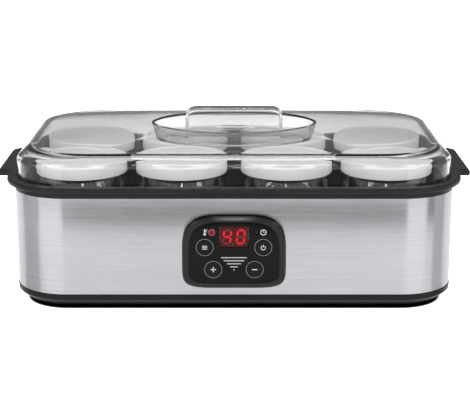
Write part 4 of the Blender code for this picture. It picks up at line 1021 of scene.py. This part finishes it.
def cover_side(wall):
    """Rings of the cover's outer face (wall 0) or of its inner face, from its foot to the grip's top."""
    bottom = COVER_LOW.z
    grip_top = COVER_HIGH.z
    floor = grip_top - GRIP_HEIGHT
    crown_top = floor + RECESS_DEPTH
    shoulder_top = crown_top - CROWN_RISE
    shoulder = shoulder_top - SHOULDER_RISE
    lean = math.atan2(SHOULDER_INSET, SHOULDER_RISE)
    edge_inset = SHOULDER_INSET + wall * 0.28
    edge_z = shoulder_top - wall * 0.96
    corners = [
        (wall, bottom, 0),
        (wall, shoulder - wall * math.tan(lean / 2), SHOULDER_ROUNDING + wall * 0.4),
        (edge_inset, edge_z, 0),
    ]
    sides = rounded(corners, 6)
    rings = [body_ring(-COVER_INSET - inset, z) for inset, z in sides[:-1]]
    half_x = HALF_X - COVER_INSET - edge_inset
    half_y = HALF_Y - COVER_INSET - edge_inset
    edge = outline(half_x, half_y, TOP_CORNER, edge_z)
    rings.append(edge)
    brim_x, brim_y = BRIM_HALF[0] + wall * 0.8, BRIM_HALF[1] + wall * 0.8
    brim_z = crown_top - wall
    brim = oval(brim_x + BRIM_ROUNDING, brim_y + BRIM_ROUNDING, brim_z, edge)
    rise = brim_z - edge_z
    bead = 0 if wall else SHOULDER_BEAD
    steps = [(0.008, bead), (0.020, bead * 0.8), (0.034, 0)]
    steps += [(step / 24, 0) for step in range(2, 25)]
    for share, lift in steps:
        height = edge_z + rise * (1 - (1 - share) ** CROWN_POWER) + lift
        rings.append([Vector((*low.lerp(high, share).xy, height)) for low, high in zip(edge, brim)])
    well = rounded(
        [
            (BRIM_ROUNDING, brim_z, 0),
            (0, brim_z, BRIM_ROUNDING),
            (-RECESS_DRAFT, floor - wall, RECESS_FILLET),
            (-RECESS_DRAFT - 3 * RECESS_FILLET, floor - wall, 0),
        ],
        5,
    )
    rings += [oval(brim_x + grow, brim_y + grow, z, edge) for grow, z in well[1:]]
    top = grip_top - wall
    root = floor - wall
    levels = [(root, 0, GRIP_ROOT), (root + 0.0005, 0, 0.0006), (root + GRIP_ROOT, 0, 0)]
    corner = GRIP_CORNER - wall
    for step in range(10):
        angle = math.radians(90 * step / 9)
        levels.append((top - corner * (1 - math.sin(angle)), corner * (1 - math.cos(angle)), 0))
    for z, shorten, flare in levels:
        share = (z - root) / (top - root)
        half_y = GRIP_HALF_WIDTH - wall - GRIP_TAPER * share + flare
        half_x = GRIP_HALF_LENGTH - wall - shorten + flare
        if z > top - GRIP_EDGE:
            half_y -= GRIP_EDGE * (1 - math.sqrt(max(0, 1 - ((z - top + GRIP_EDGE) / GRIP_EDGE) ** 2)))
        rings.append(oval(half_x, half_y, z, edge, GRIP_POWER))
    return rings


def make_cover(finishes):
    rings = cover_side(0)[::-1] + cover_side(COVER_WALL)
    cover = loft("clear_cover", rings, finishes["cover"], "capped")
    settle(cover, "cover", "clear_cover", "cover")


def jar_profile(radius, height):
    foot = radius - JAR_FOOT_INSET
    neck_in = JAR_NECK_RADIUS - GLASS
    inside = radius - GLASS
    bead = JAR_NECK_RADIUS + JAR_BEAD
    low = height - JAR_SHOULDER_DROP
    high = height - JAR_NECK_HEIGHT
    corners = [
        (0, 2 * GLASS, 0),
        (foot - GLASS, 2 * GLASS, 0.004),
        (inside, 4 * GLASS, 0.006),
        (inside, low, 0.008),
        (neck_in, high, 0.006),
        (neck_in, height, 0.0008),
        (bead, height, 0.0012),
        (bead, height - 2 * JAR_BEAD, 0.0012),
        (JAR_NECK_RADIUS, height - 3 * JAR_BEAD, 0.0010),
        (JAR_NECK_RADIUS, high, 0.004),
        (radius, low, 0.008),
        (radius, 2 * GLASS, 0.004),
        (foot, 0, 0.0015),
        (foot * 0.8, 0, 0.0015),
        (foot * 0.7, GLASS * 0.4, 0.002),
        (0, GLASS * 0.4, 0),
    ]
    return rounded(corners, 6)


def lid_profile(radius, height, overlap):
    top = height - overlap
    plug = JAR_NECK_RADIUS - GLASS - GAP
    corners = [
        (0, top - LID_RECESS, 0),
        (radius - LID_RIM, top - LID_RECESS, 0.0005),
        (radius - LID_RIM + LID_STEP, top, 0.0004),
        (radius, top, LID_EDGE),
        (radius, -overlap, 0.0003),
        (radius - LID_WALL, -overlap, 0.0003),
        (radius - LID_WALL, GAP, 0.0005),
        (plug, GAP, 0),
        (plug, -LID_PLUG_DEPTH, 0.0004),
        (plug - LID_PLUG_WALL, -LID_PLUG_DEPTH, 0.0004),
        (plug - LID_PLUG_WALL, GAP, 0),
        (0, GAP, 0),
    ]
    return rounded(corners, 5)


def make_jars(finishes):
    for number in JARS:
        low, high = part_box(f"jar_{number}")
        lid_low, lid_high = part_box(f"jar_lid_{number}")
        spot = Vector((*middle(f"jar_{number}").xy, low.z))
        profile = jar_profile((high.x - low.x) / 2, high.z - low.z)
        jar = turned(f"glass_jar_{number}", profile, spot, finishes["glass"])
        settle(jar, f"jar_{number}", "jar_glass", f"jar_{number}")
        spot.z = high.z
        profile = lid_profile((lid_high.x - lid_low.x) / 2, lid_high.z - lid_low.z, high.z - lid_low.z)
        lid = turned(f"white_lid_{number}", profile, spot, finishes["lid"])
        settle(lid, f"jar_lid_{number}", "white_lid_plastic", f"jar_lid_{number}")


def pod_ring(inset, y):
    """The panel's arched outline, drawn in by inset."""
    points = []
    height = POD_HIGH.z - POD_LOW.z
    for step in range(POD_STEPS):
        angle = 2 * math.pi * step / POD_STEPS
        across = math.cos(angle)
        up = math.sin(angle)
        power = POD_TOP_POWER if up >= 0 else POD_BOTTOM_POWER
        reach = height - POD_SHOULDER if up >= 0 else POD_SHOULDER
        x = math.copysign(abs(across) ** (2 / power), across) * (POD_HIGH.x - inset)
        z = math.copysign(abs(up) ** (2 / power), up) * (reach - inset)
        points.append(Vector((x, y, POD_LOW.z + POD_SHOULDER + z)))
    return points


def make_pod(finishes):
    front = POD_LOW.y
    back = POD_HIGH.y
    opening = BEVEL_INSET + GAP
    corners = [
        (0, back, 0),
        (0, front + BEVEL_DEPTH, 0.0020),
        (BEVEL_INSET * 0.26, front + BEVEL_DEPTH * 0.40, 0.0024),
        (BEVEL_INSET, front, 0.0006),
        (opening, front + 0.0002, 0),
        (opening, FACE_HIGH.y, 0),
        (opening + LEDGE_WIDTH, FACE_HIGH.y, 0),
        (opening + LEDGE_WIDTH, FACE_HIGH.y + LEDGE_WALL, 0),
        (POD_WALL, FACE_HIGH.y + LEDGE_WALL, 0),
        (POD_WALL, back, 0),
    ]
    rings = [pod_ring(inset, y) for inset, y in rounded(corners, 6, closed=True)]
    housing = loft("panel_housing", rings, finishes["pod"])
    settle(housing, "base_unit", "gloss_black_plastic", "control_housing")


def make_face(finishes, rings):
    front = FACE_LOW.y
    back = FACE_HIGH.y
    inset = BEVEL_INSET + 2 * GAP
    land = inset + 0.004
    corners = [(land, front, 0), (inset, front, 0.0003), (inset, back, 0), (land, back, 0)]
    outlines = [pod_ring(inward, y) for inward, y in rounded(corners, 3)]
    face = loft("panel_face", outlines, finishes["face"], "capped")
    cutters = [hole_cutter(middle(name), BUTTON_RADIUS + GAP, front, back) for name in BUTTONS]
    for name in LAMPS:
        low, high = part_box(name)
        cutters.append(hole_cutter(middle(name), (high.x - low.x) / 2 + GAP, front, back))
    window = DISPLAY_HIGH - DISPLAY_LOW + Vector((2 * GAP, 0, 2 * GAP))
    window.y = 0.01
    centre = Vector((0, front, (DISPLAY_LOW.z + DISPLAY_HIGH.z) / 2))
    cutters.append(new_piece("window_cut", block(centre, window)))
    carve(face, cutters)
    settle(face, "base_unit", "panel_face_gloss", "control_face")
    spots = [(middle(name).x, front, middle(name).z) for name in BUTTONS]
    sizes = {"Radius": BUTTON_RING_RADIUS, "Width": BUTTON_RING_WIDTH, "Height": 2 * PRINT, "Steps": 72}
    button_rings = grown("button_rings", rings, spots, Turn=FACING_FRONT, Material=finishes["ring"], **sizes)
    settle(button_rings, "base_unit", None)


def hole_cutter(centre, radius, front, back):
    margin = 0.002
    length = back - front + 2 * margin
    profile = [Vector((0, length)), Vector((radius, length)), Vector((radius, 0)), Vector((0, 0))]
    return turned("hole_cut", profile, Vector((centre.x, back + margin, centre.z)), None, TO_FRONT, 64)


def prism(shape, points, front, back):
    """A flat inlay with the outline of (across, up) points."""
    near = [shape.verts.new((x, front, z)) for x, z in points]
    far = [shape.verts.new((x, back, z)) for x, z in points]
    shape.faces.new(near)
    shape.faces.new(reversed(far))
    for index in range(len(points)):
        after = (index + 1) % len(points)
        shape.faces.new((near[index], far[index], far[after], near[after]))


def bar(x, z, length, stroke, angle=0.0, tips=5):
    """Outline of a round-ended bar."""
    half = (length - stroke) / 2
    points = []
    for side in (1, -1):
        for step in range(tips + 1):
            turn = math.radians(-90 + 180 * step / tips) + (0 if side > 0 else math.pi)
            points.append((side * half + stroke / 2 * math.cos(turn), stroke / 2 * math.sin(turn)))
    cos = math.cos(angle)
    sin = math.sin(angle)
    return [(x + along * cos - off * sin, z + along * sin + off * cos) for along, off in points]


def arc(x, z, radius, stroke, start, end, steps=36):
    """Outline of part of a ring, from start to end in degrees."""
    angles = [math.radians(start + (end - start) * step / steps) for step in range(steps + 1)]
    far = radius + stroke / 2
    near = radius - stroke / 2
    outer = [(x + far * math.cos(angle), z + far * math.sin(angle)) for angle in angles]
    inner = [(x + near * math.cos(angle), z + near * math.sin(angle)) for angle in angles]
    return outer + inner[::-1]


def disc(x, z, radius, steps=24):
    angles = [2 * math.pi * step / steps for step in range(steps)]
    return [(x + radius * math.cos(angle), z + radius * math.sin(angle)) for angle in angles]


def inlay(name, outlines, surface, material):
    shape = bmesh.new()
    for points in outlines:
        prism(shape, points, surface - PRINT, surface + PRINT)
    bmesh.ops.recalc_face_normals(shape, faces=shape.faces)
    return new_piece(name, shape, material, angle=20)


def make_prints(finishes):
    """The programme bars and the two signs beside the lamps."""
    surface = FACE_LOW.y
    lamp = middle("temperature_led")
    timer = middle("timer_led")
    top = DISPLAY_LOW.z - BAR_TOP_DROP
    rows = enumerate(BAR_HALVES)
    outlines = [bar(0, top - index * BAR_PITCH, 2 * half, BAR_STROKE) for index, half in rows]
    outlines.append(disc(0, top - len(BAR_HALVES) * BAR_PITCH + 0.0001, 0.0005))
    settle(inlay("programme_bars", outlines, surface, finishes["print"]), "base_unit", None)
    stem = lamp.x - 0.0054
    signs = [
        disc(stem, lamp.z - 0.0014, 0.0011),
        bar(stem, lamp.z + 0.0006, SIGN_LENGTH, 0.0010, UPRIGHT),
        *[bar(stem + 0.0014, lamp.z + 0.0004 + 0.0009 * step, 0.0010, 0.0003) for step in range(3)],
    ]
    settle(inlay("thermometer_sign", signs, surface, finishes["bright"]), "base_unit", None)
    clock = timer.x + 0.0056
    signs = [
        arc(clock, timer.z, CLOCK_RADIUS, SIGN_STROKE, 0, 180),
        arc(clock, timer.z, CLOCK_RADIUS, SIGN_STROKE, 180, 360),
        bar(clock, timer.z + 0.0007, 0.0015, 0.0004, UPRIGHT),
        bar(clock + 0.0005, timer.z, 0.0012, 0.0004),
    ]
    settle(inlay("clock_sign", signs, surface, finishes["bright"]), "base_unit", None)


def button_marks(name, x, z):
    """The sign on a button's cap."""
    if name == "menu_button":
        return [bar(x, z + step * 0.0012, SIGN_LENGTH, SIGN_STROKE) for step in (-1, 0, 1)]
    if name == "power_button":
        upper = bar(x, z + 0.0013, 0.0022, SIGN_STROKE, UPRIGHT)
        return [arc(x, z - 0.0002, 0.0017, SIGN_STROKE, 122, 418), upper]
    level = bar(x, z, KEY_LENGTH, KEY_STROKE)
    if name == "minus_button":
        return [level]
    return [level, bar(x, z, KEY_LENGTH, KEY_STROKE, UPRIGHT)]


def make_buttons(finishes):
    for name in BUTTONS:
        low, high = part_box(name)
        centre = middle(name)
        depth = high.y - low.y
        flange = (high.x - low.x) / 2
        shoulder = FACE_HIGH.y + GAP - low.y
        corners = [
            (0, -BUTTON_DISH, 0),
            (BUTTON_RADIUS * 0.62, -0.00010, 0),
            (BUTTON_RADIUS * 0.90, 0, 0.0008),
            (BUTTON_RADIUS, 0, 0.0005),
            (BUTTON_RADIUS, -shoulder, 0),
            (flange, -shoulder, 0.0002),
            (flange, -shoulder - BUTTON_FLANGE, 0.0002),
            (BUTTON_STEM, -shoulder - BUTTON_FLANGE, 0),
            (BUTTON_STEM, -depth, 0.0003),
            (0, -depth, 0),
        ]
        spot = Vector((centre.x, low.y, centre.z))
        cap = turned(f"{name}_cap", rounded(corners, 4), spot, finishes["button"], TO_FRONT)
        settle(cap, name, "button_plastic", name)
        outlines = button_marks(name, centre.x, centre.z)
        settle(inlay(f"{name}_mark", outlines, low.y + PRINT, finishes["bright"]), name, None)


SEGMENTS = {
    "top": ((-1, 2), (1, 2)),
    "upper_right": ((1, 2), (1, 0)),
    "lower_right": ((1, 0), (1, -2)),
    "bottom": ((1, -2), (-1, -2)),
    "lower_left": ((-1, -2), (-1, 0)),
    "upper_left": ((-1, 0), (-1, 2)),
    "middle": ((-1, 0), (1, 0)),
}
FOUR = {"upper_left", "middle", "upper_right", "lower_right"}
NOUGHT = set(SEGMENTS) - {"middle"}


def segment(centre_x, centre_z, name):
    """Outline of one segment of a digit, pointed at both ends and leaning with the digit."""
    reach_x = (DIGIT_WIDTH - DIGIT_STROKE) / 2
    reach_z = (DIGIT_HEIGHT - DIGIT_STROKE) / 4
    start, end = (Vector((a * reach_x, b * reach_z)) for a, b in SEGMENTS[name])
    along = (end - start).normalized()
    side = Vector((-along.y, along.x)) * DIGIT_STROKE / 2
    start += along * DIGIT_GAP
    end -= along * DIGIT_GAP
    nib = along * DIGIT_STROKE / 2
    points = [start, start + nib + side, end - nib + side, end, end - nib - side, start + nib - side]
    return [(centre_x + point.x + DIGIT_SLANT * point.y, centre_z + point.y) for point in points]


def make_display(finishes):
    front = DISPLAY_LOW.y
    shape = block((DISPLAY_HIGH + DISPLAY_LOW) / 2, DISPLAY_HIGH - DISPLAY_LOW)
    bmesh.ops.bevel(shape, geom=shape.edges, offset=0.0004, segments=3, affect="EDGES")
    lens = new_piece("display_window", shape, finishes["lens"])
    settle(lens, "base_unit", "display_lens", "display_module")
    height = (DISPLAY_LOW.z + DISPLAY_HIGH.z) / 2
    lit = []
    dim = []
    for side, digit in ((-1, FOUR), (1, NOUGHT)):
        centre = side * DIGIT_SPREAD / 2
        for name in SEGMENTS:
            (lit if name in digit else dim).append(segment(centre, height, name))
        dim.append(disc(centre + DIGIT_WIDTH * 0.58, height - DIGIT_HEIGHT * 0.46, POINT_RADIUS))
    settle(inlay("lit_segments", lit, front, finishes["lit"]), "base_unit", None)
    settle(inlay("dim_segments", dim, front, finishes["dim"]), "base_unit", None)


def make_lamps(finishes, rings):
    # The lit lamp's ring takes the painted red glow; the unlit lamp's ring is plain black plastic.
    for name, lens, bezel in zip(LAMPS, ("led_on", "led_off"), ("led_ring", "button")):
        low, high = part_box(name)
        radius = (high.x - low.x) / 2
        depth = high.y - low.y
        corners = [
            (0, 0, 0),
            (radius * 0.75, -radius * 0.10, 0.0004),
            (radius, -radius * 0.55, 0.0004),
            (radius, -depth, 0.0002),
            (0, -depth, 0),
        ]
        spot = Vector((middle(name).x, low.y, middle(name).z))
        lamp = turned(f"{name}_lens", rounded(corners, 4), spot, finishes[lens], TO_FRONT, 40)
        settle(lamp, "base_unit", "led_lens", name)
        spot.y = FACE_LOW.y
        sizes = {
            "Radius": radius + LAMP_RING_WIDTH,
            "Width": LAMP_RING_WIDTH,
            "Height": 3 * PRINT,
            "Steps": 48,
        }
        ring = grown(f"{name}_ring", rings, [spot], Turn=FACING_FRONT, Material=finishes[bezel], **sizes)
        settle(ring, "base_unit", None)


def make_gland(finishes, rings):
    """The cord outlet: a stepped rubber grommet with ribs round its nose and an open bore."""
    low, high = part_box("cord_gland")
    flange = (high.x - low.x) / 2
    length = high.y - low.y
    wall_out = HALF_Y + GAP - low.y
    wall_in = HALF_Y - SHEET - GAP - low.y
    corners = [
        (GLAND_BORE, length, 0.0004),
        (GLAND_TIP, length, 0.0006),
        (GLAND_NOSE, wall_out + GLAND_FLANGE, 0.0004),
        (flange, wall_out + GLAND_FLANGE, 0.0008),
        (flange, wall_out, 0.0002),
        (GLAND_NECK, wall_out, 0),
        (GLAND_NECK, wall_in, 0),
        (flange - GLAND_INSET, wall_in, 0.0002),
        (flange - GLAND_INSET, 0, 0.0008),
        (GLAND_BORE, 0, 0.0004),
    ]
    spot = Vector((middle("cord_gland").x, low.y, middle("cord_gland").z))
    profile = rounded(corners, 4, closed=True)
    gland = turned("rubber_gland", profile, spot, finishes["gland"], TO_BACK, 56, "joined")
    settle(gland, "base_unit", "gland_rubber", "cord_gland")
    spots = [(spot.x, high.y - RIB_START - step * RIB_PITCH, spot.z) for step in range(RIB_COUNT)]
    sizes = {"Radius": RIB_RADIUS, "Width": RIB_WIDTH, "Height": RIB_HEIGHT, "Steps": 56}
    ribs = grown("gland_ribs", rings, spots, Turn=FACING_FRONT, Material=finishes["gland"], **sizes)
    settle(ribs, "base_unit", "gland_rubber")


def paint_inner_parts():
    for name, material in inner_finishes().items():
        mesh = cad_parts[name].data
        mesh.materials.clear()
        mesh.materials.append(material)


def make_floor():
    """One floor for the camera, and one with cards for light, reflections and what glass lets through."""
    floors = []
    for name, with_dark_strip in (("floor", False), ("reflected_floor", True)):
        shape = bmesh.new()
        bmesh.ops.create_grid(shape, x_segments=8, y_segments=8, size=FLOOR_HALF)
        floors.append(new_piece(name, shape, pale_floor(name, with_dark_strip)))
    grey = card_stock("grey_card", (0.84, 0.85, 0.87), (0.92, 0.93, 0.95))
    white = card_stock("white_card", (0.88, 0.88, 0.88), (0.92, 0.92, 0.92), 0.80)
    cards = []
    kinds = (("grey_cards", GREY_CARDS, grey), ("white_cards", WHITE_CARDS, white))
    for number, (name, sheets, stock) in enumerate(kinds, 1):
        shape = bmesh.new()
        for corners in sheets:
            shape.faces.new([shape.verts.new((*corner, CARD_LIFT * number)) for corner in corners])
        cards.append(new_piece(name, shape, stock))
    seen, reflected = floors
    for ray in ("diffuse", "glossy", "transmission", "volume_scatter", "shadow"):
        setattr(seen, f"visible_{ray}", False)
    for unseen in (reflected, *cards):
        unseen.visible_camera = False


def make_light():
    """A white studio: a dome that is bright behind the camera and dark behind the machine, and softboxes."""
    world = bpy.data.worlds.new("studio")
    world.use_nodes = True
    bpy.context.scene.world = world
    nodes = Nodes(world.node_tree)
    background = world.node_tree.nodes["Background"]
    way = nodes.add("ShaderNodeTexCoord").outputs["Generated"]
    parts = nodes.add("ShaderNodeSeparateXYZ", None, {0: way}).outputs
    x, y, z = (Value(nodes, part) for part in parts)
    round_turn = nodes.value("ShaderNodeMath", {"operation": "ARCTAN2"}, {0: x, 1: 0 - y})
    share = round_turn * (0.5 / math.pi) + 0.5
    bands = [
        (0.00, 0.22),
        (0.14, 0.28),
        (0.28, 1.05),
        (0.42, 1.90),
        (0.58, 1.90),
        (0.72, 1.05),
        (0.86, 0.28),
        (1.00, 0.22),
    ]
    side = nodes.value("ShaderNodeValToRGB", {"stops": bands}, {0: share})
    top = nodes.spread(z, 0.20, 0.80)
    dome = side * (1 - top) + top * DOME_TOP
    seen = nodes.value("ShaderNodeLightPath")
    level = dome * (1 - seen) + seen
    world.node_tree.links.new(level.socket, background.inputs["Strength"])
    background.inputs["Color"].default_value = (1.0, 1.0, 1.0, 1)
    softboxes = (
        ("panel_softbox", (0.0, -0.95, 0.66), 0.09, 0.5),
        ("top_softbox", (0.0, -0.45, 1.10), 0.32, 1.6),
        ("left_softbox", (-0.95, -0.75, 0.95), 0.60, 4.0),
        ("right_softbox", (1.00, -0.60, 0.85), 0.55, 3.2),
        ("back_softbox", (0.10, 1.00, 1.60), 1.10, 1.6),
    )
    for name, spot, size, power in softboxes:
        lamp = bpy.data.lights.new(name, "AREA")
        lamp.shape = "RECTANGLE"
        lamp.size = size
        lamp.size_y = size * 0.6
        lamp.energy = power
        holder = bpy.data.objects.new(name, lamp)
        holder.location = spot
        holder.rotation_euler = (LAMP_AIM - Vector(spot)).to_track_quat("-Z", "Y").to_euler()
        bpy.context.scene.collection.objects.link(holder)


def make_camera():
    lens = bpy.data.cameras.new("camera")
    lens.lens = CAMERA_LENS
    lens.sensor_width = CAMERA_SENSOR
    camera = bpy.data.objects.new("camera", lens)
    camera.location = CAMERA_SPOT
    camera.rotation_euler = (CAMERA_TILT, 0, 0)
    bpy.context.scene.collection.objects.link(camera)
    bpy.context.scene.camera = camera


def main():
    make_camera()
    make_light()
    make_floor()
    finishes = make_finishes()
    rings = ring_tree()
    make_steel(finishes)
    make_base(finishes, slot_tree())
    make_feet(finishes)
    make_screw_heads(finishes)
    make_basin(finishes, rings)
    make_cover(finishes)
    make_jars(finishes)
    make_pod(finishes)
    make_face(finishes, rings)
    make_prints(finishes)
    make_buttons(finishes)
    make_display(finishes)
    make_lamps(finishes, rings)
    make_gland(finishes, rings)
    paint_inner_parts()
    bpy.context.scene.view_settings.view_transform = "Standard"


main()
